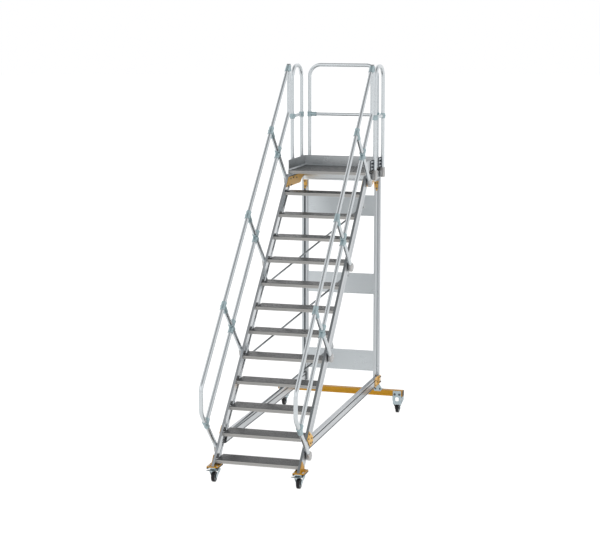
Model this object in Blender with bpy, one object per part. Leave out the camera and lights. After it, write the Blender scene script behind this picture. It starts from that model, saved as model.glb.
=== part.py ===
"""Rolling warehouse ladder: a one-sided platform stair on castors.

World frame: +X to the user's right when facing the stair, +Y from the bottom
step towards the platform, +Z up, floor at z = 0.  All lengths are in metres.
"""
import math

import bmesh
import bpy
from mathutils import Matrix, Vector

# ---- stair geometry -------------------------------------------------------
RISE = 0.208
GOING = 0.208
TREAD_COUNT = 12
TREAD_DEPTH = 0.222
TREAD_LIP = 0.033
TREAD_SKIN = 0.016
TREAD_HALF = 0.4050
PLATFORM_Z = (TREAD_COUNT + 1) * RISE
PLATFORM_Y0 = TREAD_COUNT * GOING
PLATFORM_Y1 = 3.130
DECK_HALF = 0.418
DECK_THICK = 0.032
TOE_HEIGHT = 0.110
TOE_THICK = 0.006
GAP = 0.0003  # clearance between neighbouring pieces

# ---- stringers (lines z = y + C in the side view) -------------------------
STRINGER_IN = 0.4055
STRINGER_OUT = 0.4310
STRINGER_C_TOP = 0.220
STRINGER_C_LOW = 0.045
STRINGER_END_Y = PLATFORM_Y0 - 0.0025
INNER_CHANNEL = (0.055, 0.006)  # half width, depth
OUTER_GROOVE = (0.006, 0.002)

# ---- handrails ------------------------------------------------------------
TUBE_R = 0.020
BORE_R = 0.0208
SLEEVE_R = 0.0260
RAIL_X = 0.4545
RAIL_C = 1.208
KNEE_C = 0.712
RAIL_FRONT_Y = -0.262
POST_S0 = 0.450
POST_PITCH = 1.554
POST_FOOT_C = 0.070
RAIL_TOP_Y = 2.600
RAIL_TOP_Z = 3.822
RAIL_BEND = 0.110
KNEE_BEND = 0.080
TOP_JOINT_Z = (3.745, 3.808)
SLEEVE_REACH = 0.090
KNEE_SLEEVE_REACH = 0.120
TOP_SLEEVE_DROP = 0.130
KNEE_START_REACH = 0.055
BORE_REACH = 0.4
CLAMP_OUT_X = RAIL_X + 0.0225
CLAMP_HALF = 0.052
CLAMP_C = (0.030, 0.060, 0.215)

# ---- platform guards ------------------------------------------------------
GUARD_Z = 3.795
GUARD_MID_Z = 3.262
SIDE_GUARD_X = 0.4555
SIDE_GUARD_Y = (2.737, 3.0945)
REAR_GUARD_X = 0.379
REAR_GUARD_Y = 3.151
SIDE_GUARD_BEND = 0.150
REAR_GUARD_BEND = 0.125
REAR_GUARD_LOW = 2.520
REAR_SOCKET_TOP = 2.585
MID_RAIL_R = 0.0185
TEE_R = 0.025
TEE_HALF = 0.026
SOCKET_HALF = 0.030
SOCKET_OUT = 0.0255

# ---- support frame --------------------------------------------------------
UPRIGHT_X = (0.374, 0.440)
UPRIGHT_Y = (3.0575, 3.1025)
TRAVERSE_HALF = 0.715
TRAVERSE_Y = (3.045, 3.115)
TRAVERSE_Z = (0.187, 0.250)
BASE_X = (0.392, 0.4325)
BASE_Z = (0.302, 0.399)
PANEL_HEIGHT = 0.225
PANEL_MID_Z = (0.564, 1.423, 2.284)
REAR_BEAM_Y = (3.012, 3.052)
REAR_BEAM_Z = (2.556, 2.6715)
SIDE_BEAM_Z = (2.592, 2.6715)
PANEL_THICK = 0.026
PANEL_SET_BACK = 0.008
PLATE_THICK = 0.0055
PLATE_OUT_X = BASE_X[1] + 0.005
GUSSET_THICK = 0.005

# ---- tie rods under the flight --------------------------------------------
BRACE_COUNT = 3
BRACE_C = -0.060
BRACE_R = 0.0065
BRACE_LOW_Y = 0.435
BRACE_RUN = 0.730
BRACE_INSET = 0.006
LUG_WIDTH = 0.020

# ---- castors --------------------------------------------------------------
WHEEL_R = 0.050
WHEEL_W = 0.034
AXLE_R = 0.006
FRONT_X = 0.416
FRONT_AXLE_Y = -0.020
FRONT_SWIVEL_Y = 0.0125
REAR_X = 0.6515
REAR_AXLE_Y = 3.080
AXLE_HALF = (0.031, 0.033)  # front, rear
HUB_HALF = 0.021
HUB_R = 0.014
FOOT_PLATE_X = (0.366, 0.475)
FOOT_PLATE_Y = (-0.075, 0.100)
FOOT_PLATE_Z = (0.1485, 0.1565)
PAD_Z = (0.1345, 0.1485)
FORK_TOP = 0.119
FORK_FLARE = 0.046
FORK_CHEEK = (0.0235, 0.0275)
RACE_R = 0.036
CROWN_R = 0.0375
SWIVEL_ORIGIN_Z = 0.125
PEDAL_PIVOT = (-0.034, 0.1155)
PEDAL_R = 0.0065
SADDLE_HALF = 0.046
SADDLE_LOW = 0.096
SADDLE_TOP = 0.2495
FRONT_WINDOW = (0.020, 0.134, 0.178)  # half width, bottom, top
BACK_WINDOW = (0.036, 0.1145, 0.165)
REAR_CROWN_Z = (0.106, 0.112)
REAR_CHEEK = (0.0230, 0.0285)

# ---- origin: centre of the footprint's bounding box, on the floor ---------
REAR_GUARD_BACK = REAR_GUARD_Y + 0.026
SHIFT_Y = -0.5 * (REAR_GUARD_BACK + RAIL_FRONT_Y - TUBE_R)

# name: (colour, metallic, roughness)
FINISHES = {
    "aluminium": ((0.60, 0.62, 0.63), 1.0, 0.38),
    "tread_grey": ((0.16, 0.16, 0.16), 0.6, 0.50),
    "panel_silver": ((0.55, 0.57, 0.58), 1.0, 0.42),
    "amber": ((0.62, 0.33, 0.05), 0.1, 0.45),
    "zinc": ((0.50, 0.55, 0.57), 1.0, 0.35),
    "rubber": ((0.02, 0.02, 0.02), 0.0, 0.60),
}
SIDES = (("left", -1), ("right", 1))
ROUND = math.radians(35.0)


def clear_scene():
    for obj in list(bpy.data.objects):
        bpy.data.objects.remove(obj, do_unlink=True)


def material(node, finish):
    colour, metallic, roughness = FINISHES[finish]
    mat = bpy.data.materials.new("mat_" + node)
    mat.use_nodes = True
    shader = mat.node_tree.nodes["Principled BSDF"]
    shader.inputs["Base Color"].default_value = (*colour, 1.0)
    shader.inputs["Metallic"].default_value = metallic
    shader.inputs["Roughness"].default_value = roughness
    mat.diffuse_color = (*colour, 1.0)
    return mat


def prism(points, axis, low, high):
    """Closed prism of a 2D outline; the outline lies across `axis`."""
    bm = bmesh.new()
    order = {"x": (1, 2), "y": (0, 2), "z": (0, 1)}[axis]
    along = "xyz".index(axis)
    rings = []
    for level in (low, high):
        ring = []
        for point in points:
            co = [0.0, 0.0, 0.0]
            co[order[0]] = point[0]
            co[order[1]] = point[1]
            co[along] = level
            ring.append(bm.verts.new(co))
        rings.append(ring)
    bm.faces.new(rings[0])
    bm.faces.new(rings[1])
    count = len(points)
    for i in range(count):
        j = (i + 1) % count
        bm.faces.new((rings[0][i], rings[0][j], rings[1][j], rings[1][i]))
    bmesh.ops.recalc_face_normals(bm, faces=bm.faces)
    return bm


def box(x0, x1, y0, y1, z0, z1):
    return prism([(x0, y0), (x1, y0), (x1, y1), (x0, y1)], "z", z0, z1)


def rod(start, end, radius, segments=18):
    """Closed cylinder from start to end."""
    start = Vector(start)
    end = Vector(end)
    return sweep([start, end], radius, segments)


def sweep(path, radius, segments=16):
    """Closed round bar along a path of points."""
    path = [Vector(p) for p in path]
    bm = bmesh.new()
    tangents = []
    for i, point in enumerate(path):
        before = path[max(i - 1, 0)]
        after = path[min(i + 1, len(path) - 1)]
        tangents.append((after - before).normalized())
    up = Vector((1.0, 0.0, 0.0))
    if abs(tangents[0].dot(up)) > 0.9:
        up = Vector((0.0, 0.0, 1.0))
    side = tangents[0].cross(up).normalized()
    rings = []
    for point, tangent in zip(path, tangents):
        side = (side - tangent * side.dot(tangent)).normalized()
        other = tangent.cross(side)
        ring = []
        for k in range(segments):
            angle = 2.0 * math.pi * k / segments
            offset = side * math.cos(angle) + other * math.sin(angle)
            ring.append(bm.verts.new(point + offset * radius))
        rings.append(ring)
    for low, high in zip(rings, rings[1:]):
        for k in range(segments):
            j = (k + 1) % segments
            bm.faces.new((low[k], low[j], high[j], high[k]))
    bm.faces.new(rings[0])
    bm.faces.new(rings[-1])
    bmesh.ops.recalc_face_normals(bm, faces=bm.faces)
    return bm


def bent(corners, radius, steps=5):
    """Path through corners with each inner corner turned into an arc."""
    corners = [Vector(c) for c in corners]
    path = [corners[0]]
    for i in range(1, len(corners) - 1):
        here = corners[i]
        to_prev = (corners[i - 1] - here).normalized()
        to_next = (corners[i + 1] - here).normalized()
        half = 0.5 * to_prev.angle(to_next)
        reach = radius / math.tan(half)
        centre = here + (to_prev + to_next).normalized() * (radius / math.sin(half))
        start = here + to_prev * reach
        end = here + to_next * reach
        for k in range(steps + 1):
            t = k / steps
            a = start - centre
            b = end - centre
            sweep_angle = a.angle(b)
            left = math.sin((1.0 - t) * sweep_angle) / math.sin(sweep_angle)
            right = math.sin(t * sweep_angle) / math.sin(sweep_angle)
            path.append(centre + a * left + b * right)
    path.append(corners[-1])
    return path


def add_mesh(name, bm, smooth=False):
    mesh = bpy.data.meshes.new(name)
    bm.to_mesh(mesh)
    bm.free()
    obj = bpy.data.objects.new(name, mesh)
    bpy.context.scene.collection.objects.link(obj)
    if smooth:
        for poly in mesh.polygons:
            poly.use_smooth = True
    return obj


def combine(name, solids, cuts=(), within=None):
    """Keep the first solid's part within a shape, weld the others, take the cuts out."""
    base = add_mesh(name, solids[0])
    jobs = [(within, "INTERSECT")] if within else []
    jobs += [(bm, "UNION") for bm in solids[1:]]
    jobs += [(bm, "DIFFERENCE") for bm in cuts]
    for number, (bm, operation) in enumerate(jobs):
        tool = add_mesh("%s_tool_%02d" % (name, number), bm)
        modifier = base.modifiers.new("join", "BOOLEAN")
        modifier.operation = operation
        modifier.solver = "EXACT"
        modifier.object = tool
        depsgraph = bpy.context.evaluated_depsgraph_get()
        result = bpy.data.meshes.new_from_object(base.evaluated_get(depsgraph))
        base.modifiers.clear()
        old = base.data
        base.data = result
        bpy.data.meshes.remove(old)
        bpy.data.objects.remove(tool, do_unlink=True)
    base.data.name = name
    return base


def finish(obj, look, origin=None, smooth_angle=None):
    """Move to the final frame, put the origin on the axis, add the look."""
    mesh = obj.data
    mesh.transform(Matrix.Translation((0.0, SHIFT_Y, 0.0)))
    if origin is not None:
        point = Vector(origin) + Vector((0.0, SHIFT_Y, 0.0))
        mesh.transform(Matrix.Translation(-point))
        obj.location = point
    mesh.materials.clear()
    mesh.materials.append(material(obj.name, look))
    if smooth_angle is not None:
        for poly in mesh.polygons:
            poly.use_smooth = True
        bm = bmesh.new()
        bm.from_mesh(mesh)
        for edge in bm.edges:
            edge.smooth = edge.calc_face_angle(0.0) < smooth_angle
        bm.to_mesh(mesh)
        bm.free()
    return obj


def mirrored(points, side):
    return [(side * a, b) for a, b in points]


def span(side, low, high):
    """Ordered x limits of a piece on one side of the centre plane."""
    return (low, high) if side > 0 else (-high, -low)


def flight(s, c):
    """(y, z) of the point with y + z = s and z - y = c."""
    return (0.5 * (s - c), 0.5 * (s + c))


# ---- stringers, treads, deck ----------------------------------------------
def flight_band(low_c, high_c, x_limits):
    """Strip along the flight between two lines, run past both of its ends."""
    past = 0.3
    low = FOOT_PLATE_Z[1] + GAP - past
    far = STRINGER_END_Y + past
    outline = [
        (low - low_c, low),
        (far, far + low_c),
        (far, far + high_c),
        (low - high_c, low),
    ]
    return prism(outline, "x", *x_limits)


def build_stringer(label, side):
    foot = FOOT_PLATE_Z[1] + GAP
    outline = [
        (foot - STRINGER_C_TOP, foot),
        (foot - STRINGER_C_LOW, foot),
        (STRINGER_END_Y, STRINGER_END_Y + STRINGER_C_LOW),
        (STRINGER_END_Y, PLATFORM_Z),
        (PLATFORM_Z - STRINGER_C_TOP, PLATFORM_Z),
    ]
    x0, x1 = span(side, STRINGER_IN, STRINGER_OUT)
    body = prism(outline, "x", x0, x1)
    mid = 0.5 * (STRINGER_C_TOP + STRINGER_C_LOW)
    inner_half, inner_depth = INNER_CHANNEL
    outer_half, outer_depth = OUTER_GROOVE
    inner_x = span(side, STRINGER_IN - 0.01, STRINGER_IN + inner_depth)
    outer_x = span(side, STRINGER_OUT - outer_depth, STRINGER_OUT + 0.01)
    cuts = [
        flight_band(mid - inner_half, mid + inner_half, inner_x),
        flight_band(mid - 0.02 - outer_half, mid - 0.02 + outer_half, outer_x),
    ]
    finish(combine("stringer_" + label, [body], cuts), "aluminium")


def build_tread(index):
    y = index * GOING
    z = RISE + index * RISE
    outline = [
        (y, z),
        (y, z - TREAD_LIP),
        (y + 0.014, z - TREAD_LIP),
        (y + 0.020, z - TREAD_SKIN),
        (y + TREAD_DEPTH, z - TREAD_SKIN),
        (y + TREAD_DEPTH, z),
    ]
    body = add_mesh("tread_%02d" % (index + 1), prism(outline, "x", -TREAD_HALF, TREAD_HALF))
    finish(body, "tread_grey")


def build_deck():
    z0 = PLATFORM_Z - DECK_THICK
    finish(
        add_mesh("deck", box(-DECK_HALF, DECK_HALF, PLATFORM_Y0, PLATFORM_Y1, z0, PLATFORM_Z)),
        "tread_grey",
    )


def build_toe_boards():
    z0 = PLATFORM_Z + GAP
    z1 = PLATFORM_Z + TOE_HEIGHT
    lip = 0.020
    for label, side in SIDES:
        outline = [
            (DECK_HALF, z0),
            (DECK_HALF, z1),
            (DECK_HALF - TOE_THICK, z1),
            (DECK_HALF - TOE_THICK, z0 + 0.012),
            (DECK_HALF - lip, z0 + 0.004),
            (DECK_HALF - lip, z0),
        ]
        body = prism(mirrored(outline, side), "y", PLATFORM_Y0 + 0.006, PLATFORM_Y1 - 0.0245)
        finish(add_mesh("toe_board_" + label, body), "panel_silver")
    outline = [
        (PLATFORM_Y1, z0),
        (PLATFORM_Y1, z1),
        (PLATFORM_Y1 - TOE_THICK, z1),
        (PLATFORM_Y1 - TOE_THICK, z0 + 0.012),
        (PLATFORM_Y1 - lip, z0 + 0.004),
        (PLATFORM_Y1 - lip, z0),
    ]
    body = prism(outline, "x", -DECK_HALF, DECK_HALF)
    finish(add_mesh("toe_board_rear", body), "panel_silver")


def build_platform_beams():
    for label, side in SIDES:
        x0, x1 = span(side, STRINGER_IN, STRINGER_OUT)
        beam = box(x0, x1, PLATFORM_Y0 - 0.0015, PLATFORM_Y1 - 0.002, *SIDE_BEAM_Z)
        finish(add_mesh("platform_beam_" + label, beam), "aluminium")
        gusset = [
            (2.334, 2.540),
            (2.432, 2.639),
            (2.900, 2.639),
            (2.985, 2.606),
            (2.905, 2.572),
            (2.866, 2.540),
        ]
        x0, x1 = span(side, STRINGER_IN - GAP - GUSSET_THICK, STRINGER_IN - GAP)
        finish(add_mesh("stair_gusset_" + label, prism(gusset, "x", x0, x1)), "amber")
    x = STRINGER_IN - 2.0 * GAP
    beam = box(-x, x, *REAR_BEAM_Y, *REAR_BEAM_Z)
    finish(add_mesh("platform_beam_rear", beam), "aluminium")


# ---- handrails ------------------------------------------------------------
def foot_clamp(side, s):
    """Block that holds a rail's foot against the stringer."""
    half = CLAMP_HALF
    wide = CLAMP_HALF + 0.012
    low, mid, high = CLAMP_C
    outline = [
        flight(s - half, high),
        flight(s - wide, mid),
        flight(s - 0.5 * half, low),
        flight(s + 0.5 * half, low),
        flight(s + wide, mid),
        flight(s + half, high),
    ]
    x0, x1 = span(side, STRINGER_OUT + GAP, CLAMP_OUT_X)
    return prism(outline, "x", x0, x1)


def on_rail(side, s, c):
    y, z = flight(s, c)
    return (side * RAIL_X, y, z)


def build_top_rail(label, side):
    x = side * RAIL_X
    top_y = RAIL_TOP_Y - SLEEVE_R + 0.004
    path = bent(
        [
            (x, top_y, top_y + RAIL_C),
            (x, RAIL_FRONT_Y, RAIL_FRONT_Y + RAIL_C),
            (x, RAIL_FRONT_Y, POST_S0 - RAIL_FRONT_Y),
            on_rail(side, POST_S0, POST_FOOT_C),
        ],
        RAIL_BEND,
    )
    low, high = TOP_JOINT_Z
    joint = rod((x, RAIL_TOP_Y, low), (x, RAIL_TOP_Y, high), SLEEVE_R)
    bore = rod((x, RAIL_TOP_Y, 3.6), (x, RAIL_TOP_Y, 3.9), BORE_R)
    solids = [sweep(path, TUBE_R), joint, foot_clamp(side, POST_S0)]
    obj = combine("top_rail_" + label, solids, [bore])
    finish(obj, "aluminium", smooth_angle=ROUND)


def build_knee_rail(label, side):
    x = side * RAIL_X
    start = on_rail(side, POST_S0 + 0.022, KNEE_C)
    path = bent(
        [start, (x, RAIL_TOP_Y, RAIL_TOP_Y + KNEE_C), (x, RAIL_TOP_Y, RAIL_TOP_Z)],
        KNEE_BEND,
    )
    low = on_rail(side, POST_S0, KNEE_C - KNEE_START_REACH)
    high = on_rail(side, POST_S0, KNEE_C + KNEE_START_REACH)
    obj = combine(
        "knee_rail_" + label,
        [sweep(path, TUBE_R), rod(low, high, SLEEVE_R)],
        [rod(on_rail(side, POST_S0, KNEE_C - 0.2), on_rail(side, POST_S0, KNEE_C + 0.2), BORE_R)],
    )
    finish(obj, "aluminium", smooth_angle=ROUND)


def build_post(label, side, number):
    s = POST_S0 + number * POST_PITCH
    solids = [rod(on_rail(side, s, POST_FOOT_C), on_rail(side, s, RAIL_C), TUBE_R, 16)]
    cuts = []
    for level in (KNEE_C, RAIL_C):
        low = on_rail(side, s - SLEEVE_REACH, level)
        high = on_rail(side, s + SLEEVE_REACH, level)
        solids.append(rod(low, high, SLEEVE_R, 16))
        low = on_rail(side, s - BORE_REACH, level)
        high = on_rail(side, s + BORE_REACH, level)
        cuts.append(rod(low, high, BORE_R, 16))
    low = on_rail(side, s, KNEE_C - KNEE_SLEEVE_REACH)
    high = on_rail(side, s, KNEE_C + KNEE_SLEEVE_REACH)
    solids.append(rod(low, high, SLEEVE_R, 16))
    low = on_rail(side, s, RAIL_C - TOP_SLEEVE_DROP)
    solids.append(rod(low, on_rail(side, s, RAIL_C), SLEEVE_R, 16))
    solids.append(foot_clamp(side, s))
    obj = combine("post_%s_%d" % (label, number), solids, cuts)
    finish(obj, "aluminium", smooth_angle=ROUND)


def build_side_guard(label, side):
    x = side * SIDE_GUARD_X
    y0, y1 = SIDE_GUARD_Y
    low = SIDE_BEAM_Z[0] + 0.008
    path = bent([(x, y0, low), (x, y0, GUARD_Z), (x, y1, GUARD_Z), (x, y1, low)], SIDE_GUARD_BEND, 7)
    solids = [sweep(path, TUBE_R)]
    mid = GUARD_MID_Z
    solids.append(rod((x, y0, mid), (x, y1, mid), MID_RAIL_R, 16))
    x0, x1 = span(side, STRINGER_OUT + GAP, SIDE_GUARD_X + SOCKET_OUT)
    for y in (y0, y1):
        solids.append(rod((x, y, mid - TEE_HALF), (x, y, mid + TEE_HALF), SLEEVE_R, 16))
        socket_y = (y - SOCKET_HALF, y + SOCKET_HALF)
        solids.append(box(x0, x1, *socket_y, low + 0.002, PLATFORM_Z + 0.001))
    solids.append(rod((x, y0, mid), (x, y0 + 0.055, mid), TEE_R, 16))
    solids.append(rod((x, y1 - 0.055, mid), (x, y1, mid), TEE_R, 16))
    finish(combine("side_guard_" + label, solids), "aluminium", smooth_angle=ROUND)


def build_rear_guard():
    x = REAR_GUARD_X
    y = REAR_GUARD_Y
    low = REAR_GUARD_LOW
    path = bent([(-x, y, low), (-x, y, GUARD_Z), (x, y, GUARD_Z), (x, y, low)], REAR_GUARD_BEND, 6)
    mid = GUARD_MID_Z
    solids = [sweep(path, TUBE_R), rod((-x, y, mid), (x, y, mid), MID_RAIL_R, 16)]
    socket_y = (UPRIGHT_Y[1] + GAP, REAR_GUARD_BACK)
    for side in (-1, 1):
        sx = side * x
        solids.append(rod((sx, y, mid - TEE_HALF), (sx, y, mid + TEE_HALF), SLEEVE_R, 16))
        solids.append(rod((sx, y, mid), (sx - side * 0.070, y, mid), TEE_R, 16))
        solids.append(box(sx - 0.028, sx + 0.028, *socket_y, low + 0.002, REAR_SOCKET_TOP))
    finish(combine("rear_guard", solids), "aluminium", smooth_angle=ROUND)


# ---- support frame --------------------------------------------------------
def build_upright(label, side):
    z0 = TRAVERSE_Z[1] + GAP
    top = SIDE_BEAM_Z[0] - GAP
    inner, outer = UPRIGHT_X
    front, back = UPRIGHT_Y
    section = [
        (inner, front),
        (inner + 0.022, front),
        (inner + 0.022, front + 0.006),
        (outer - 0.022, front + 0.006),
        (outer - 0.022, front),
        (outer, front),
        (outer, back),
        (inner, back),
    ]
    post = prism(mirrored(section, side), "z", z0, top)
    triangle = [
        (inner + 0.002, REAR_BEAM_Z[0] - GAP),
        (outer - 0.014, REAR_BEAM_Z[0] - GAP),
        (inner + 0.030, 2.464),
        (inner + 0.016, 2.464),
    ]
    bracket = prism(mirrored(triangle, side), "y", UPRIGHT_Y[0] - 0.005, UPRIGHT_Y[0] + 0.002)
    foot = [
        (inner + 0.018, 0.236),
        (inner + 0.018, 0.290),
        (outer + 0.014, 0.312),
        (outer + 0.042, 0.266),
        (outer + 0.028, 0.236),
    ]
    flange = prism(mirrored(foot, side), "y", 3.0375, TRAVERSE_Y[0] - GAP)
    spacer = [
        (inner + 0.018, z0),
        (inner + 0.018, 0.290),
        (outer + 0.014, 0.312),
        (outer + 0.040, z0),
    ]
    block = prism(mirrored(spacer, side), "y", 3.040, UPRIGHT_Y[0] + 0.002)
    obj = combine("upright_" + label, [post, bracket, flange, block])
    finish(obj, "aluminium")


def build_cross_panels():
    x = UPRIGHT_X[0] - GAP
    half = 0.5 * PANEL_HEIGHT
    y0 = UPRIGHT_Y[0] + PANEL_SET_BACK
    for number, mid in enumerate(PANEL_MID_Z):
        panel = box(-x, x, y0, y0 + PANEL_THICK, mid - half, mid + half)
        finish(add_mesh("cross_panel_%d" % (number + 1), panel), "panel_silver")


def build_base_beam(label, side):
    z0, z1 = BASE_Z
    end_y = UPRIGHT_Y[0] - 0.0205
    clear = STRINGER_C_LOW - 0.001
    outline = [(z0 - clear, z0), (end_y, z0), (end_y, z1), (z1 - clear, z1)]
    x0, x1 = span(side, *BASE_X)
    beam = prism(outline, "x", x0, x1)
    front = [(0.262, 0.478), (0.385, 0.398), (0.385, 0.336), (0.290, 0.318), (0.198, 0.412)]
    p0, p1 = span(side, STRINGER_OUT + GAP, PLATE_OUT_X)
    front_plate = prism(front, "x", p0, p1)
    rear_plate = box(p0, p1, 2.905, 3.036, z0 + 0.001, z1 + 0.010)
    q0, q1 = span(side, UPRIGHT_X[1] + GAP, UPRIGHT_X[1] + PLATE_THICK)
    wrap = box(q0, q1, 3.030, 3.126, z0 + 0.009, z1 + 0.004)
    j0, j1 = span(side, BASE_X[1] - 0.001, UPRIGHT_X[1] + PLATE_THICK)
    jog = box(j0, j1, 3.028, 3.0365, z0 + 0.009, z1 + 0.003)
    obj = combine("base_beam_" + label, [beam, front_plate, rear_plate, jog, wrap])
    finish(obj, "aluminium")


def build_traverse():
    x = TRAVERSE_HALF
    body = box(-x, x, *TRAVERSE_Y, *TRAVERSE_Z)
    mid = 0.5 * (TRAVERSE_Z[0] + TRAVERSE_Z[1])
    groove = box(-1.0, 1.0, TRAVERSE_Y[0] - 0.01, TRAVERSE_Y[0] + 0.003, mid - 0.007, mid + 0.007)
    finish(combine("traverse", [body], [groove]), "amber")


def brace_lug(side, y):
    """Block under a stringer's lower edge that takes one end of a brace."""
    s = 2.0 * y + BRACE_C
    top = STRINGER_C_LOW - 0.0006
    outline = [
        flight(s - 0.035, top),
        flight(s + 0.035, top),
        flight(s + 0.022, BRACE_C - 0.016),
        flight(s - 0.022, BRACE_C - 0.016),
    ]
    x0, x1 = span(side, STRINGER_IN, STRINGER_IN + LUG_WIDTH)
    return prism(outline, "x", x0, x1)


def build_braces():
    """Diagonal rods under the flight, each held at its ends."""
    x = STRINGER_IN + BRACE_INSET
    for number in range(BRACE_COUNT):
        low = BRACE_LOW_Y + 3.0 * GOING * number
        high = low + BRACE_RUN
        start_x = -x if number else -(BASE_X[0] - BRACE_INSET)
        slope = (high - low) / (2.0 * x)
        start_y = low + slope * (start_x + x)
        start = (start_x, start_y, start_y + BRACE_C)
        end = (x, high, high + BRACE_C)
        solids = [rod(start, end, BRACE_R, 12), brace_lug(1, high)]
        if number:
            solids.append(brace_lug(-1, low))
        name = "flight_brace_%d" % (number + 1)
        finish(combine(name, solids), "aluminium", smooth_angle=ROUND)


# ---- castors --------------------------------------------------------------
def wheel(name, x, y):
    """Solid wheel with a raised hub, bored for its axle bolt."""
    half = 0.5 * WHEEL_W
    profile = [
        (AXLE_R + 0.0001, HUB_HALF),
        (HUB_R, HUB_HALF),
        (HUB_R, half - 0.003),
        (0.034, half - 0.003),
        (0.036, half),
        (WHEEL_R - 0.004, half),
        (WHEEL_R, half - 0.006),
    ]
    ring = profile + [(r, -w) for r, w in reversed(profile)]
    bm = bmesh.new()
    segments = 28
    loops = []
    for k in range(segments):
        angle = 2.0 * math.pi * k / segments
        loops.append(
            [
                bm.verts.new((w, r * math.cos(angle), r * math.sin(angle)))
                for r, w in ring
            ]
        )
    count = len(ring)
    for k in range(segments):
        nxt = loops[(k + 1) % segments]
        for i in range(count):
            j = (i + 1) % count
            bm.faces.new((loops[k][i], loops[k][j], nxt[j], nxt[i]))
    bmesh.ops.translate(bm, verts=bm.verts, vec=(x, y, WHEEL_R))
    bmesh.ops.recalc_face_normals(bm, faces=bm.faces)
    return finish(add_mesh(name, bm), "rubber", (x, y, WHEEL_R), ROUND)


def build_front_castor(label, side):
    x = side * FRONT_X
    x0, x1 = span(side, *FOOT_PLATE_X)
    y0, y1 = FOOT_PLATE_Y
    plate = box(x0, x1, y0, y1, *FOOT_PLATE_Z)
    top = FOOT_PLATE_Z[1] - 0.001
    ear = [(-0.060, top), (0.099, top), (0.099, 0.168), (0.022, 0.252)]
    e0, e1 = span(side, STRINGER_OUT + GAP, STRINGER_OUT + PLATE_THICK)
    i0, i1 = span(side, FOOT_PLATE_X[0] + 0.0010, FOOT_PLATE_X[0] + 0.0060)
    inner = [(0.020, top), (0.099, top), (0.099, 0.172), (0.055, 0.172)]
    pad = box(x0 + 0.002, x1 - 0.002, y0 + 0.002, y1 - 0.002, PAD_Z[0], PAD_Z[1] + 0.001)
    obj = combine(
        "foot_plate_" + label,
        [plate, prism(ear, "x", e0, e1), prism(inner, "x", i0, i1), pad],
    )
    finish(obj, "amber")

    swivel_y = FRONT_SWIVEL_Y
    axle = (x, FRONT_AXLE_Y, WHEEL_R)
    race = rod((x, swivel_y, 0.116), (x, swivel_y, PAD_Z[0] - 0.0005), RACE_R, 24)
    crown = rod((x, swivel_y, FORK_TOP - 0.014), (x, swivel_y, FORK_TOP), CROWN_R, 24)
    cheek_in, cheek_out = FORK_CHEEK
    bell = [
        (FORK_FLARE - 0.003, FORK_TOP - 0.002),
        (FORK_FLARE - 0.003, 0.102),
        (cheek_out, 0.062),
        (cheek_out, 0.030),
        (cheek_in, 0.030),
        (cheek_in, 0.064),
        (FORK_FLARE - 0.008, 0.102),
        (FORK_FLARE - 0.012, FORK_TOP - 0.008),
    ]
    bell += [(-a, b) for a, b in reversed(bell)]
    bell = prism([(x + a, b) for a, b in bell], "y", -0.05, 0.06)
    cheek = [
        (-0.025, 0.125),
        (0.046, 0.125),
        (0.046, 0.082),
        (0.002, 0.036),
        (-0.020, 0.032),
        (-0.036, 0.044),
        (-0.036, 0.096),
        (-0.025, 0.107),
    ]
    bolt_half = AXLE_HALF[0]
    solids = [bell, crown, race]
    solids.append(rod((x - bolt_half, *axle[1:]), (x + bolt_half, *axle[1:]), AXLE_R, 16))
    profile = prism(cheek, "x", x - 0.06, x + 0.06)
    fork = combine("castor_fork_" + label, solids, within=profile)
    finish(fork, "zinc", (x, swivel_y, SWIVEL_ORIGIN_Z), ROUND)
    wheel("castor_wheel_" + label, x, FRONT_AXLE_Y)

    pivot = (x, *PEDAL_PIVOT)
    arm = [(-0.040, 0.1205), (-0.078, 0.1285), (-0.078, 0.1245), (-0.040, 0.1105)]
    lever = prism(arm, "x", x - 0.016, x + 0.016)
    paddle_side = [(-0.062, 0.1258), (-0.086, 0.1308), (-0.086, 0.1262), (-0.062, 0.1200)]
    paddle = prism(paddle_side, "x", x - 0.060, x + 0.018)
    hub = rod((x - 0.019, *pivot[1:]), (x + 0.019, *pivot[1:]), PEDAL_R, 14)
    pedal = combine("brake_pedal_" + label, [lever, paddle, hub])
    finish(pedal, "zinc", pivot, ROUND)


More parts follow.
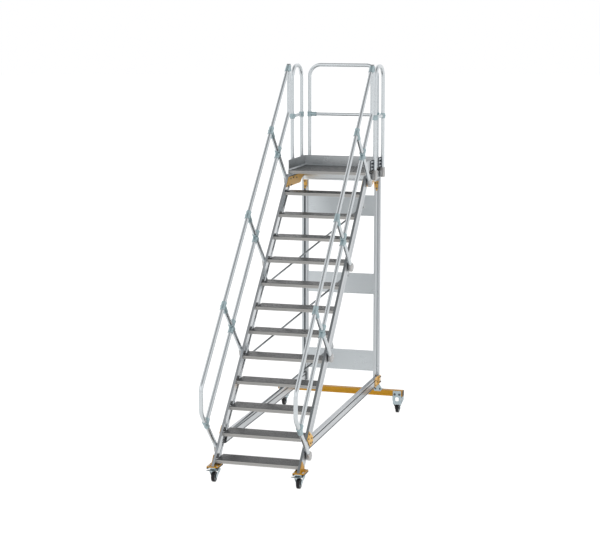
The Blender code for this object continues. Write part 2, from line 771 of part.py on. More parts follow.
def build_rear_castor(label, side):
    x = side * REAR_X
    y = REAR_AXLE_Y
    face = TRAVERSE_Y[0] - GAP
    under = TRAVERSE_Z[0] - GAP
    crown_low, crown_high = REAR_CROWN_Z
    cheek_in, cheek_out = REAR_CHEEK
    half_bell = [
        (0.045, crown_high),
        (0.052, under),
        (0.0575, under),
        (0.0575, 0.137),
        (cheek_out, 0.062),
        (cheek_out, 0.034),
        (cheek_in, 0.034),
        (cheek_in, 0.066),
        (0.038, crown_low),
    ]
    bell = half_bell + [(-a, b) for a, b in reversed(half_bell)]
    bell = prism([(x + a, b) for a, b in bell], "y", y - 0.07, y + 0.07)
    cheek = [
        (-0.015, under),
        (0.060, under),
        (0.060, 0.148),
        (0.014, 0.062),
        (0.010, 0.034),
        (-0.010, 0.034),
        (-0.014, 0.062),
        (-0.0373, crown_low - 0.002),
        (-0.0373, crown_high + 0.001),
        (-0.015, crown_high + 0.001),
    ]
    profile = prism([(y + a, b) for a, b in cheek], "x", x - 0.08, x + 0.08)
    plate_x = (x - SADDLE_HALF, x + SADDLE_HALF)
    saddle = box(*plate_x, face - 0.006, face, SADDLE_LOW, SADDLE_TOP)
    back = box(*plate_x, y + 0.025, y + 0.031, crown_low + 0.001, under)
    half, low, high = FRONT_WINDOW
    window = box(x - half, x + half, face - 0.02, face + 0.02, low, high)
    half, low, high = BACK_WINDOW
    back_window = box(x - half, x + half, y + 0.02, y + 0.05, low, high)
    bolt_half = AXLE_HALF[1]
    axle = rod((x - bolt_half, y, WHEEL_R), (x + bolt_half, y, WHEEL_R), AXLE_R, 16)
    solids = [bell, saddle, back, axle]
    obj = combine("rear_castor_" + label, solids, [window, back_window], profile)
    finish(obj, "zinc", smooth_angle=ROUND)
    wheel("rear_wheel_" + label, x, y)


def main():
    clear_scene()
    for label, side in SIDES:
        build_stringer(label, side)
        build_top_rail(label, side)
        build_knee_rail(label, side)
        for number in (1, 2, 3):
            build_post(label, side, number)
        build_side_guard(label, side)
        build_upright(label, side)
        build_base_beam(label, side)
        build_front_castor(label, side)
        build_rear_castor(label, side)
    for index in range(TREAD_COUNT):
        build_tread(index)
    build_deck()
    build_toe_boards()
    build_platform_beams()
    build_rear_guard()
    build_cross_panels()
    build_traverse()
    build_braces()


main()
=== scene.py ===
import math

import bmesh
import bpy
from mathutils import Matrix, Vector


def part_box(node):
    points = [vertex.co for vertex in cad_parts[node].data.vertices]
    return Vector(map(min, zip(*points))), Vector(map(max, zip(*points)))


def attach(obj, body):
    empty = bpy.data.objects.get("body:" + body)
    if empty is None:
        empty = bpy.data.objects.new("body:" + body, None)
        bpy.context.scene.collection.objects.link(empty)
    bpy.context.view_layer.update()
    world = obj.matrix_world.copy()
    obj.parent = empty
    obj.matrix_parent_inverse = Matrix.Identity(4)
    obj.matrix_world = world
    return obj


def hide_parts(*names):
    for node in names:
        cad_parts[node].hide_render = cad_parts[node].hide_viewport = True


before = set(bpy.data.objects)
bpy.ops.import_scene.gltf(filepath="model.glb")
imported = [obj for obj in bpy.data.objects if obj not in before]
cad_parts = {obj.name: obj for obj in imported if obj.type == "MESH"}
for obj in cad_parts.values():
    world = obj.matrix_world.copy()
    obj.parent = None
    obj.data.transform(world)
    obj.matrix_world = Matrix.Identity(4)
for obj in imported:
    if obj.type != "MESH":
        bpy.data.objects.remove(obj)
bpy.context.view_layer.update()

# ---- driving lines of the frame; y is measured from the bottom tread's nosing ----
RISE = 0.208
GOING = 0.208
TREADS = 12
TREAD_DEPTH = 0.222
DECK_LOW, DECK_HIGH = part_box("deck")
PLATFORM_Y0 = TREADS * GOING
SHIFT_Y = DECK_LOW.y - PLATFORM_Y0
PLATFORM_Y1 = DECK_HIGH.y - SHIFT_Y
PLATFORM_Z = DECK_HIGH.z
DECK_HALF = DECK_HIGH.x
TREAD_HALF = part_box("tread_01")[1].x
STRINGER_IN, STRINGER_OUT = 0.4055, 0.4310
STRINGER_C = (0.045, 0.220)
FOOT_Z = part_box("stringer_left")[0].z
DECK_SIDE = STRINGER_OUT - 0.0005
TOE_X = DECK_HALF + 0.0115
TUBE_R, INNER_TUBE_R = 0.020, 0.018
RAIL_BEND, KNEE_BEND, SIDE_BEND, REAR_BEND = 0.110, 0.080, 0.150, 0.125
RAIL_X = 0.4545
RAIL_C = 1.208
KNEE_C = 0.712
RAIL_FRONT_Y = -0.262
POST_S0, POST_PITCH = 0.450, 1.554
RAIL_TOP_Y = 2.600
RAIL_TOP_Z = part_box("knee_rail_left")[1].z
GUARD_Z = 3.795
GUARD_MID_Z = 3.262
SIDE_GUARD_X = 0.4555
SIDE_GUARD_Y = (2.737, 3.0945)
REAR_GUARD_X, REAR_GUARD_Y = 0.379, 3.151
UPRIGHT_X = (0.374, 0.440)
UPRIGHT_Y = (3.0575, 3.1025)
TRAVERSE_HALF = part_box("traverse")[1].x
TRAVERSE_Y = (3.045, 3.115)
TRAVERSE_Z = (0.187, 0.250)
BASE_X = (0.392, 0.4325)
BASE_Z = (0.302, 0.399)
PANEL_Z = (0.564, 1.423, 2.284)
PANEL_HALF = 0.1125
SIDE_BEAM_Z = (2.592, 2.6715)
REAR_BEAM_Y, REAR_BEAM_Z = (3.012, 3.052), (2.556, 2.6715)
BRACE_C = -0.060
WHEEL_R = 0.050
FRONT_X, FRONT_AXLE_Y, SWIVEL_Y = 0.416, -0.020, 0.0125
REAR_X, REAR_AXLE_Y = 0.6515, 3.080
PLATE_Z = (0.1485, 0.1565)
PAD_LOW = 0.1345
TOE_TOP = PLATFORM_Z + 0.110
FLOOR_GLOW, DOME_LIGHT = 0.88, 1.25
SMOOTH_BELOW, BEVEL_ABOVE = 35.0, 38.0  # edge angles in degrees
GAP = 0.0003  # air between pieces that touch
SHEET = 0.005  # bracket and gusset sheet
CAMERA_PLACE = (4.5451, -14.2911, 4.4431)  # y in the same measure as the driving lines
CAMERA_LENS = 99.26
CAMERA_YAW, CAMERA_PITCH = 16.0999, -9.1227  # degrees, to the left and down
SIDES = (("left", -1), ("right", 1))
UP = Vector((0.0, 1.0, 1.0)).normalized()
ACROSS = Vector((0.0, -1.0, 1.0)).normalized()
X = Vector((1.0, 0.0, 0.0))
Y = Vector((0.0, 1.0, 0.0))
Z = Vector((0.0, 0.0, 1.0))


# ---- materials ----
class Nodes:
    """A material's node tree with a Principled shader, and short ways to add to it."""

    def __init__(self, name):
        self.mat = bpy.data.materials.new(name)
        self.mat.use_nodes = True
        self.tree = self.mat.node_tree
        self.shader = self.tree.nodes["Principled BSDF"]

    def add(self, kind, **values):
        node = self.tree.nodes.new(kind)
        for key, value in values.items():
            setattr(node, key, value)
        return node

    def link(self, a, b):
        self.tree.links.new(a, b)

    def coords(self, space="Object", scale=(1.0, 1.0, 1.0)):
        texture = self.add("ShaderNodeTexCoord")
        mapping = self.add("ShaderNodeMapping")
        mapping.inputs["Scale"].default_value = scale
        self.link(texture.outputs[space], mapping.inputs["Vector"])
        return mapping.outputs["Vector"]

    def noise(self, vector, scale, detail=4.0, rough=0.55):
        node = self.add("ShaderNodeTexNoise")
        node.inputs["Scale"].default_value = scale
        node.inputs["Detail"].default_value = detail
        node.inputs["Roughness"].default_value = rough
        self.link(vector, node.inputs["Vector"])
        return node.outputs["Fac"]

    def ramp(self, value, stops):
        node = self.add("ShaderNodeValToRGB")
        set_stops(node.color_ramp, stops)
        self.link(value, node.inputs["Fac"])
        return node.outputs["Color"]

    def spread(self, value, low, high):
        """Stretches the middle of a noise to low...high."""
        node = self.add("ShaderNodeMapRange")
        node.inputs["From Min"].default_value = 0.3
        node.inputs["From Max"].default_value = 0.7
        node.inputs["To Min"].default_value = low
        node.inputs["To Max"].default_value = high
        self.link(value, node.inputs["Value"])
        return node.outputs["Result"]

    def tint(self, value, stops):
        self.link(self.ramp(value, stops), self.shader.inputs["Base Color"])

    def gloss(self, value, low, high):
        self.link(self.spread(value, low, high), self.shader.inputs["Roughness"])

    def bump(self, height, strength, distance):
        node = self.add("ShaderNodeBump")
        node.inputs["Strength"].default_value = strength
        node.inputs["Distance"].default_value = distance
        self.link(height, node.inputs["Height"])
        self.link(node.outputs["Normal"], self.shader.inputs["Normal"])

    def set(self, **values):
        for key, value in values.items():
            self.shader.inputs[key.replace("_", " ")].default_value = value


def set_stops(ramp, stops):
    while len(ramp.elements) < len(stops):
        ramp.elements.new(0.5)
    for element, (at, colour) in zip(ramp.elements, stops):
        element.position = at
        element.color = (*colour, 1.0)


def shade(colour, factor):
    return tuple(min(1.0, c * factor) for c in colour)


def drawn_metal(name, colour, rough, lines=900.0, contrast=0.03):
    """Extruded or drawn metal: fine die lines run along the piece's length."""
    n = Nodes(name)
    grain = n.noise(n.coords("UV", (2.5, lines, 1.0)), 1.0, 3.0)
    cloud = n.noise(n.coords(), 3.2, 3.0)
    n.tint(grain, ((0.25, shade(colour, 1.0 - contrast)), (0.75, shade(colour, 1.0 + contrast))))
    both = n.add("ShaderNodeMath", operation="ADD")
    n.link(n.spread(grain, -0.025, 0.025), both.inputs[0])
    n.link(n.spread(cloud, rough - 0.03, rough + 0.04), both.inputs[1])
    n.link(both.outputs["Value"], n.shader.inputs["Roughness"])
    n.bump(grain, 0.02, 0.0001)
    n.set(Metallic=1.0)
    return n.mat


def cast_metal(name, colour, rough):
    """Sand-cast or blasted metal: fine even pitting with soft clouds of tone."""
    n = Nodes(name)
    space = n.coords()
    pits = n.noise(space, 950.0, 3.0, 0.6)
    cloud = n.noise(space, 28.0, 3.0)
    n.tint(cloud, ((0.3, shade(colour, 0.90)), (0.7, shade(colour, 1.10))))
    n.gloss(pits, rough - 0.06, rough + 0.06)
    n.bump(pits, 0.35, 0.00025)
    n.set(Metallic=0.85)
    return n.mat


def zinc_metal(name, colour, rough):
    """Bright zinc plate: large soft spangles and a faint blue cast."""
    n = Nodes(name)
    space = n.coords()
    cells = n.add("ShaderNodeTexVoronoi")
    cells.inputs["Scale"].default_value = 90.0
    n.link(space, cells.inputs["Vector"])
    fine = n.noise(space, 420.0, 3.0)
    stops = ((0.0, shade(colour, 1.08)), (0.6, colour), (1.0, shade(colour, 0.88)))
    n.tint(cells.outputs["Distance"], stops)
    n.gloss(fine, rough - 0.07, rough + 0.09)
    n.bump(fine, 0.12, 0.0002)
    n.set(Metallic=1.0)
    return n.mat


def powder_coat(name, colour, rough):
    """Powder coat: fine orange peel, soft clouds of tone and slight gloss changes."""
    n = Nodes(name)
    space = n.coords()
    peel = n.noise(space, 650.0, 2.0, 0.5)
    cloud = n.noise(space, 9.0, 4.0)
    n.tint(cloud, ((0.25, shade(colour, 0.90)), (0.75, shade(colour, 1.08))))
    n.gloss(cloud, rough - 0.05, rough + 0.07)
    n.bump(peel, 0.30, 0.0003)
    n.set(Metallic=0.0, Specular_IOR_Level=0.22, Coat_Weight=0.0)
    return n.mat


def moulded(name, colour, rough):
    """Moulded rubber or plastic with a fine grain."""
    n = Nodes(name)
    space = n.coords()
    fine = n.noise(space, 800.0, 3.0)
    cloud = n.noise(space, 30.0, 4.0)
    n.tint(cloud, ((0.3, shade(colour, 0.82)), (0.7, shade(colour, 1.2))))
    n.gloss(fine, rough - 0.08, rough + 0.08)
    n.bump(fine, 0.35, 0.0003)
    n.set(Metallic=0.0, Specular_IOR_Level=0.25)
    return n.mat


ALUMINIUM = drawn_metal("aluminium_tube", (0.555, 0.585, 0.600), 0.26)
PROFILE = drawn_metal("aluminium_profile", (0.500, 0.525, 0.540), 0.30)
STRINGER = drawn_metal("stringer_profile", (0.440, 0.460, 0.475), 0.30)
# Darker grey standing in for shade: painted shade on the right stringer's front face and the left
# post's inner faces; the tie rods use it too.
SHADE_GREY = drawn_metal("painted_shade_grey", (0.270, 0.290, 0.300), 0.30)
STRINGER_INNER = drawn_metal("stringer_inner", (0.500, 0.520, 0.535), 0.15)
PANEL = drawn_metal("panel_sheet", (0.50, 0.53, 0.545), 0.30, lines=500.0)
# Lighter grey for the rear cross beam: painted light that lifts it out of the shade under the deck.
LIT_BEAM = drawn_metal("cross_beam_painted_light", (0.70, 0.73, 0.745), 0.32)
TREAD = drawn_metal("tread_ribs", (0.105, 0.106, 0.105), 0.30, lines=300.0, contrast=0.05)
NOSING = drawn_metal("tread_nosing", (0.350, 0.345, 0.333), 0.34, lines=700.0)
TOE = drawn_metal("toe_board_sheet", (0.48, 0.50, 0.51), 0.28, lines=500.0)
CAST = cast_metal("cast_connector", (0.33, 0.415, 0.435), 0.45)
CAST_LIGHT = cast_metal("cast_foot", (0.44, 0.435, 0.43), 0.42)
AMBER_PLATE = powder_coat("amber_plate", (0.64, 0.37, 0.085), 0.42)
# A darker copy of the amber coat: painted shade on the traverse and foot mounts.
AMBER = powder_coat("amber_coat", (0.46, 0.225, 0.008), 0.42)
ZINC = zinc_metal("zinc_plate", (0.37, 0.44, 0.465), 0.34)
STEEL = zinc_metal("bolt_steel", (0.62, 0.65, 0.67), 0.24)
# Dark steel of brackets and bolts, also used as painted shade on the base rails' slot faces.
DARK_STEEL_AND_SLOT_SHADE = cast_metal("dark_bracket_and_slot_shade", (0.11, 0.12, 0.13), 0.42)
RUBBER = moulded("tyre_rubber", (0.007, 0.007, 0.008), 0.55)
CORE = moulded("wheel_core", (0.10, 0.115, 0.12), 0.42)
# Black moulded plastic of the caps and hub covers, also used for the painted shade sheets inside
# the rear forks.
CAP_AND_FORK_SHADE = moulded("end_cap_and_fork_shade", (0.045, 0.05, 0.052), 0.45)


# ---- mesh making ----
class Shape:
    """One piece's mesh, made of closed shells."""

    def __init__(self):
        self.bm = bmesh.new()
        self.uv = self.bm.loops.layers.uv.new("UVMap")

    def skin(self, rings, look=0, loop=False, looks=None):
        """Joins rings of points into a closed shell: capped, or looped end to end."""
        rings = [[Vector(p) for p in ring] for ring in rings]
        rows = [[self.bm.verts.new(p) for p in ring] for ring in rings]
        count = len(rings[0])
        around = [0.0]
        for i in range(count):
            around.append(around[-1] + (rings[0][(i + 1) % count] - rings[0][i]).length)
        faces = []
        along = 0.0
        pairs = list(zip(range(len(rows)), range(1, len(rows))))
        if loop:
            pairs.append((len(rows) - 1, 0))
        for a, b in pairs:
            step = max((rings[b][i] - rings[a][i]).length for i in range(count))
            for i in range(count):
                j = (i + 1) % count
                face = self.bm.faces.new((rows[a][i], rows[a][j], rows[b][j], rows[b][i]))
                face.material_index = looks(i) if looks else look
                uvs = (
                    (along, around[i]), (along, around[i + 1]), (along + step, around[i + 1]),
                    (along + step, around[i]),
                )
                for corner, uv in zip(face.loops, uvs):
                    corner[self.uv].uv = uv
                faces.append(face)
            along += step
        if not loop:
            for row in (rows[0], rows[-1]):
                face = self.bm.faces.new(row)
                face.material_index = look
                for corner in face.loops:
                    co = corner.vert.co
                    corner[self.uv].uv = (co.x + co.y, co.z)
                faces.append(face)
        bmesh.ops.recalc_face_normals(self.bm, faces=faces)
        return self

    def prism(self, outline, axis, low, high, look=0):
        """Outline across one axis, from low to high along it."""
        place = {
            "x": lambda a, b, h: (h, a, b),
            "y": lambda a, b, h: (a, h, b),
            "z": lambda a, b, h: (a, b, h),
        }[axis]
        return self.skin([[place(a, b, h) for a, b in outline] for h in (low, high)], look)

    def box(self, x0, x1, y0, y1, z0, z1, look=0):
        return self.prism(rect(x0, x1, y0, y1), "z", z0, z1, look)

    def tube(self, path, radius, look=0, count=36):
        """Round bar along a path."""
        path = [Vector(p) for p in path]
        last = len(path) - 1
        ways = [
            (path[min(i + 1, last)] - path[max(i - 1, 0)]).normalized()
            for i in range(last + 1)
        ]
        start = X if abs(ways[0].dot(X)) < 0.9 else Z
        side = ways[0].cross(start).normalized()
        rings = []
        for point, way in zip(path, ways):
            side = (side - way * side.dot(way)).normalized()
            rings.append(circle(point, side, way.cross(side), radius, count))
        return self.skin(rings, look)

    def lathe(self, centre, axis, profile, look=0, count=36, loop=False):
        """Profile of (radius, height) turned round an axis."""
        axis = Vector(axis).normalized()
        start = X if abs(axis.dot(X)) < 0.9 else Z
        side = axis.cross(start).normalized()
        other = axis.cross(side)
        centre = Vector(centre)
        rings = [circle(centre + axis * h, side, other, r, count) for r, h in profile]
        return self.skin(rings, look, loop)

    def sleeve(self, centre, axis, half, radius, look=0):
        """Clamp sleeve with thickened, rounded ends."""
        edge, rim = 0.003, 0.0016
        end = [
            (radius - 0.004, half), (radius + rim - 0.001, half - 0.0012),
            (radius + rim, half - edge), (radius + rim, half - 3.0 * edge),
            (radius, half - 4.5 * edge),
        ]
        return self.lathe(centre, axis, mirrored(end), look)

    def bolt(self, point, normal, look=0, size=0.0075, height=0.006):
        """Hex head on a washer, its base at point."""
        normal = Vector(normal).normalized()
        point = Vector(point)
        washer = [(size * 1.30, -0.001), (size * 1.30, 0.0012), (size * 1.2, 0.0016)]
        self.lathe(point, normal, washer, look, 20)
        head = [(size, 0.001), (size, height - 0.0012), (size * 0.84, height)]
        self.lathe(point, normal, head, look, 6)
        half = size * 0.5
        tip = [(half, height - 0.001), (half, height + 0.0006), (size * 0.3, height + 0.001)]
        return self.lathe(point, normal, tip, look, 14)


def mirrored(end, middle=()):
    """Whole profile of (radius, height) from its upper end, given from the tip inwards."""
    return [(r, -h) for r, h in end] + list(middle) + end[::-1]


def circle(centre, side, other, radius, count):
    turns = [2.0 * math.pi * k / count for k in range(count)]
    return [centre + (side * math.cos(a) + other * math.sin(a)) * radius for a in turns]


def bent(corners, radius, steps=12):
    """Path through corners, with each inner corner turned into an arc."""
    corners = [Vector(c) for c in corners]
    path = [corners[0]]
    for before, here, after in zip(corners, corners[1:], corners[2:]):
        to_prev = (before - here).normalized()
        to_next = (after - here).normalized()
        half = 0.5 * to_prev.angle(to_next)
        reach = radius / math.tan(half)
        centre = here + (to_prev + to_next).normalized() * (radius / math.sin(half))
        a = here + to_prev * reach - centre
        b = here + to_next * reach - centre
        total = a.angle(b)
        for k in range(steps + 1):
            t = k / steps
            left = math.sin((1.0 - t) * total) / math.sin(total)
            right = math.sin(t * total) / math.sin(total)
            path.append(centre + a * left + b * right)
    path.append(corners[-1])
    return path


def rounded(outline, radius, steps=4):
    """2D outline with its corners rounded."""
    points = []
    count = len(outline)
    for i, here in enumerate(outline):
        here = Vector(here)
        before = Vector(outline[i - 1]) - here
        after = Vector(outline[(i + 1) % count]) - here
        reach = min(radius, 0.45 * before.length, 0.45 * after.length)
        a = here + before.normalized() * reach
        b = here + after.normalized() * reach
        for k in range(steps + 1):
            t = k / steps
            points.append(tuple(a * (1 - t) ** 2 + here * 2 * t * (1 - t) + b * t * t))
    return points


def add_object(name, data):
    obj = bpy.data.objects.new(name, data)
    bpy.context.scene.collection.objects.link(obj)
    return obj


def piece(name, shape, looks, body="frame", stands_for=(), bevel=0.0):
    """Turns a shape into an object in the world frame and fixes it to its body."""
    bm = shape.bm
    bmesh.ops.translate(bm, verts=bm.verts, vec=(0.0, SHIFT_Y, 0.0))
    limit = math.radians(SMOOTH_BELOW)
    for face in bm.faces:
        face.smooth = True
    for edge in bm.edges:
        edge.smooth = len(edge.link_faces) == 2 and edge.calc_face_angle(0.0) < limit
    mesh = bpy.data.meshes.new(name)
    bm.to_mesh(mesh)
    bm.free()
    for look in looks:
        mesh.materials.append(look)
    obj = add_object(name, mesh)
    if bevel:
        modifier = obj.modifiers.new("edges", "BEVEL")
        modifier.width = bevel
        modifier.segments = 2
        modifier.limit_method = "ANGLE"
        modifier.angle_limit = math.radians(BEVEL_ABOVE)
        modifier.harden_normals = True
    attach(obj, body)
    if stands_for:
        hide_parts(*stands_for)
    return obj


def span(side, low, high):
    """The interval low to high on the given side of x = 0."""
    return (low, high) if side > 0 else (-high, -low)


def rect(a0, a1, b0, b1):
    return [(a0, b0), (a1, b0), (a1, b1), (a0, b1)]


def flight(s, c):
    """(y, z) of the point with y + z = s and z - y = c."""
    return (0.5 * (s - c), 0.5 * (s + c))


def on_rail(side, s, c):
    return Vector((side * RAIL_X, *flight(s, c)))


# ---- flight ----
def make_stringer(label, side):
    """Grooved channel from its foot to the platform; looks: 0 outside, 1 front, 2 inside."""
    low_c, high_c = STRINGER_C
    section = [
        (STRINGER_IN, low_c), (STRINGER_OUT, low_c), (STRINGER_OUT, 0.098),
        (STRINGER_OUT - 0.0025, 0.102), (STRINGER_OUT - 0.0025, 0.124), (STRINGER_OUT, 0.128),
        (STRINGER_OUT, high_c), (STRINGER_IN, high_c), (STRINGER_IN, high_c - 0.028),
        (STRINGER_IN + 0.007, high_c - 0.036), (STRINGER_IN + 0.007, low_c + 0.036),
        (STRINGER_IN, low_c + 0.028),
    ]
    end_y = PLATFORM_Y0 - 0.0025
    low = [(side * x, FOOT_Z - c, FOOT_Z) for x, c in section]
    high = []
    for x, c in section:
        z = min(end_y + c, DECK_LOW.z - 0.002)
        high.append((side * x, z - c, z))
    shape = Shape().skin([low, high], looks=lambda i: 1 if i == 6 else 2 * (i > 6))
    # Painted shade: the right stringer's front face takes the darker grey, the left one's the plain
    # stringer grey.
    front = SHADE_GREY if side > 0 else STRINGER
    looks = [STRINGER, front, STRINGER_INNER]
    node = "stringer_" + label
    piece("stringer_rail_" + label, shape, looks, stands_for=[node], bevel=0.0014)


def rib_line(start, end, pitch=0.0072, depth=0.0006):
    """Ribbed top edge of a section, from start to end."""
    points = []
    for k in range(int((end - start) / pitch)):
        y = start + k * pitch
        points += [(y, 0.0), (y + 0.0008, -depth), (y + 0.0028, -depth), (y + 0.0036, 0.0)]
    return points


def front_edge(height):
    """Nosing: flat front with a shallow groove along its middle."""
    return [
        (0.0, -height), (0.0, -0.58 * height), (0.0011, -0.55 * height), (0.0011, -0.47 * height),
        (0.0, -0.44 * height), (0.0, -0.0022), (0.0022, 0.0),
    ]


def make_tread(index):
    """Ribbed tread with a nosing, a stiffening rib below and a turned-down back."""
    y0 = index * GOING
    z0 = RISE + index * RISE
    lip = 0.033
    section = front_edge(lip)
    section += rib_line(0.008, TREAD_DEPTH - 0.006)
    section += [
        (TREAD_DEPTH, 0.0), (TREAD_DEPTH, -0.016), (TREAD_DEPTH - 0.005, -0.016),
        (TREAD_DEPTH - 0.005, -0.0055), (0.122, -0.0055), (0.122, -0.016), (0.112, -0.016),
        (0.112, -0.0055), (0.020, -0.0055), (0.014, -lip),
    ]
    shape = Shape()
    rings = [[(x, y0 + y, z0 + z) for y, z in section] for x in (-TREAD_HALF, TREAD_HALF)]
    shape.skin(rings, looks=lambda i: 1 if i < 5 else 0)
    name = "tread_%02d" % (index + 1)
    piece("step_%02d" % (index + 1), shape, [TREAD, NOSING], stands_for=[name])


def make_braces():
    """Diagonal tie rods under the flight, with thickened ends and lugs bolted at the stringers."""
    x = STRINGER_IN + 0.006
    for number in range(3):
        low = 0.435 + 3.0 * GOING * number
        high = low + 0.730
        start_x = -x if number else -(BASE_X[0] - 0.006)
        slope = (high - low) / (2.0 * x)
        start_y = low + slope * (start_x + x)
        start = Vector((start_x, start_y, start_y + BRACE_C))
        end = Vector((x, high, high + BRACE_C))
        shape = Shape().tube([start, end], 0.0090, 0, 20)
        way = (end - start).normalized()
        for point, sign in ((start, 1), (end, -1)):
            near = point + way * 0.055 * sign
            shape.tube([point + way * 0.01 * sign, near], 0.0105, 0, 20)
        ends = [(1, high)] + ([(-1, low)] if number else [])
        for side, y in ends:
            s = 2.0 * y + BRACE_C
            outline = [
                flight(s - 0.035, STRINGER_C[0] - 0.0006),
                flight(s + 0.035, STRINGER_C[0] - 0.0006),
                flight(s + 0.022, BRACE_C - 0.016),
                flight(s - 0.022, BRACE_C - 0.016),
            ]
            x0, x1 = span(side, STRINGER_IN, STRINGER_IN + 0.020)
            shape.prism(rounded(outline, 0.008), "x", x0, x1)
            at = Vector((side * STRINGER_IN, *flight(s, BRACE_C)))
            shape.bolt(at, (-side, 0, 0), 1)
        name = "flight_brace_%d" % (number + 1)
        # The rods take the darker grey that stands in for shade.
        looks = [SHADE_GREY, STEEL]
        piece("tie_rod_%d" % (number + 1), shape, looks, stands_for=[name], bevel=0.0008)


# ---- platform ----
def make_deck():
    """Ribbed deck with a nosing, three stiffening ribs below and turned-down edges."""
    depth = PLATFORM_Y1 - PLATFORM_Y0
    thick = DECK_HIGH.z - DECK_LOW.z
    section = front_edge(thick)
    section += rib_line(0.008, depth - 0.006)
    section += [(depth, 0.0), (depth, -thick), (depth - 0.006, -thick), (depth - 0.006, -0.006)]
    for k in range(3, 0, -1):
        y = depth * k / 4.0
        section += [(y + 0.004, -0.006), (y + 0.004, -thick)]
        section += [(y - 0.004, -thick), (y - 0.004, -0.006)]
    section += [(0.008, -0.006), (0.008, -thick)]
    rings = [
        [(x, PLATFORM_Y0 + y, PLATFORM_Z + z) for y, z in section]
        for x in (-DECK_SIDE, DECK_SIDE)
    ]
    shape = Shape().skin(rings, looks=lambda i: 1 if i < 5 else 0)
    piece("deck_plate", shape, [TREAD, NOSING], stands_for=["deck"])


def make_toe_boards():
    """Folded sheet with a rolled top edge, along both sides and the back."""
    z0 = PLATFORM_Z + GAP
    z1 = TOE_TOP
    profile = [
        (0.0, z0), (0.0, z1 - 0.002), (-0.002, z1), (-0.007, z1), (-0.008, z1 - 0.003),
        (-0.0055, z1 - 0.006), (-0.0055, z0 + 0.012), (-0.020, z0 + 0.004), (-0.020, z0),
    ]
    for label, side in SIDES:
        shape = Shape()
        outline = [(side * (TOE_X + a), b) for a, b in profile]
        shape.prism(outline, "y", PLATFORM_Y0 + 0.006, PLATFORM_Y1 - 0.0085)
        node = "toe_board_" + label
        piece("kick_board_" + label, shape, [TOE], stands_for=[node], bevel=0.0006)
    shape = Shape().prism([(PLATFORM_Y1 + a, b) for a, b in profile], "x", -TOE_X, TOE_X)
    node = "toe_board_rear"
    piece("kick_board_rear", shape, [TOE], stands_for=[node], bevel=0.0006)


def make_platform_beams():
    """Grooved beams under the deck's sides and back."""
    low, high = SIDE_BEAM_Z
    for label, side in SIDES:
        section = [
            (STRINGER_IN, low), (STRINGER_OUT, low), (STRINGER_OUT, low + 0.020),
            (STRINGER_OUT - 0.003, low + 0.023), (STRINGER_OUT - 0.003, high - 0.023),
            (STRINGER_OUT, high - 0.020), (STRINGER_OUT, high), (STRINGER_IN, high),
            (STRINGER_IN, high - 0.018), (STRINGER_IN + 0.005, high - 0.022),
            (STRINGER_IN + 0.005, low + 0.022), (STRINGER_IN, low + 0.018),
        ]
        shape = Shape()
        outline = [(side * a, b) for a, b in section]
        shape.prism(outline, "y", PLATFORM_Y0 - 0.0015, PLATFORM_Y1 - 0.002)
        name = "platform_beam_" + label
        piece("side_beam_" + label, shape, [PROFILE], stands_for=[name], bevel=0.001)
    low, high = REAR_BEAM_Z
    y0, y1 = REAR_BEAM_Y
    section = [
        (y0, low), (y0, low + 0.016), (y0 + 0.003, low + 0.018), (y0 + 0.003, low + 0.023),
        (y0, low + 0.025), (y0, high - 0.014), (y0 + 0.003, high - 0.012),
        (y0 + 0.003, high - 0.008), (y0, high - 0.006), (y0, high), (y1, high), (y1, low),
    ]
    # The rear beam takes the lighter grey: painted light.
    shape = Shape().prism(section, "x", -(STRINGER_IN - 0.0006), STRINGER_IN - 0.0006)
    piece("cross_beam", shape, [LIT_BEAM], stands_for=["platform_beam_rear"], bevel=0.001)


def make_stair_plates():
    """Amber plates inside the stringers' tops, bolted to them and to the side beams."""
    for label, side in SIDES:
        outline = [
            (2.334, 2.540), (2.432, 2.639), (3.006, 2.639), (3.006, 2.606), (2.905, 2.572),
            (2.866, 2.540),
        ]
        inner = STRINGER_IN - GAP - SHEET
        x0, x1 = span(side, inner, STRINGER_IN - GAP)
        shape = Shape().prism(rounded(outline, 0.008), "x", x0, x1)
        bolts = ((2.594, 2.620), (2.492, 2.617), (2.716, 2.608), (2.395, 2.548), (2.518, 2.547))
        for y, z in bolts:
            shape.bolt((side * inner, y, z), (-side, 0, 0), 1)
        looks = [AMBER_PLATE, DARK_STEEL_AND_SLOT_SHADE]
        node = "stair_gusset_" + label
        piece("stair_plate_" + label, shape, looks, stands_for=[node], bevel=0.0009)


# ---- handrails ----
def foot_casting(shape, side, s):
    """Cast foot that takes a post and bolts to the stringer's outer face."""
    mid_x = 0.5 * (STRINGER_OUT + GAP + RAIL_X + 0.0225)
    half_x = 0.5 * (RAIL_X + 0.0225 - STRINGER_OUT - GAP)
    levels = (
        (0.150, 0.0232, 0.0232, 2.0, RAIL_X), (0.144, 0.0245, 0.0240, 2.0, RAIL_X),
        (0.134, 0.0270, half_x, 2.6, mid_x), (0.118, 0.0340, half_x, 3.2, mid_x),
        (0.092, 0.0410, half_x, 4.5, mid_x), (0.062, 0.0430, half_x, 4.5, mid_x),
        (0.038, 0.0380, half_x, 4.0, mid_x), (0.026, 0.0260, half_x * 0.9, 3.5, mid_x),
    )
    rings = []
    count = 32
    for c, half_s, half, power, centre_x in levels:
        centre = Vector((side * centre_x, *flight(s, c)))
        ring = []
        for k in range(count):
            angle = 2.0 * math.pi * k / count
            a, b = math.cos(angle), math.sin(angle)
            a = math.copysign(abs(a) ** (2.0 / power), a)
            b = math.copysign(abs(b) ** (2.0 / power), b)
            ring.append(centre + X * a * half + UP * b * half_s)
        rings.append(ring)
    shape.skin(rings)
    out = side * (RAIL_X + 0.0215)
    for shift in (-0.018, 0.018):
        point = Vector((out, *flight(s, 0.074))) + UP * shift
        shape.bolt(point, (side, 0, 0), 1, 0.0060, 0.0035)


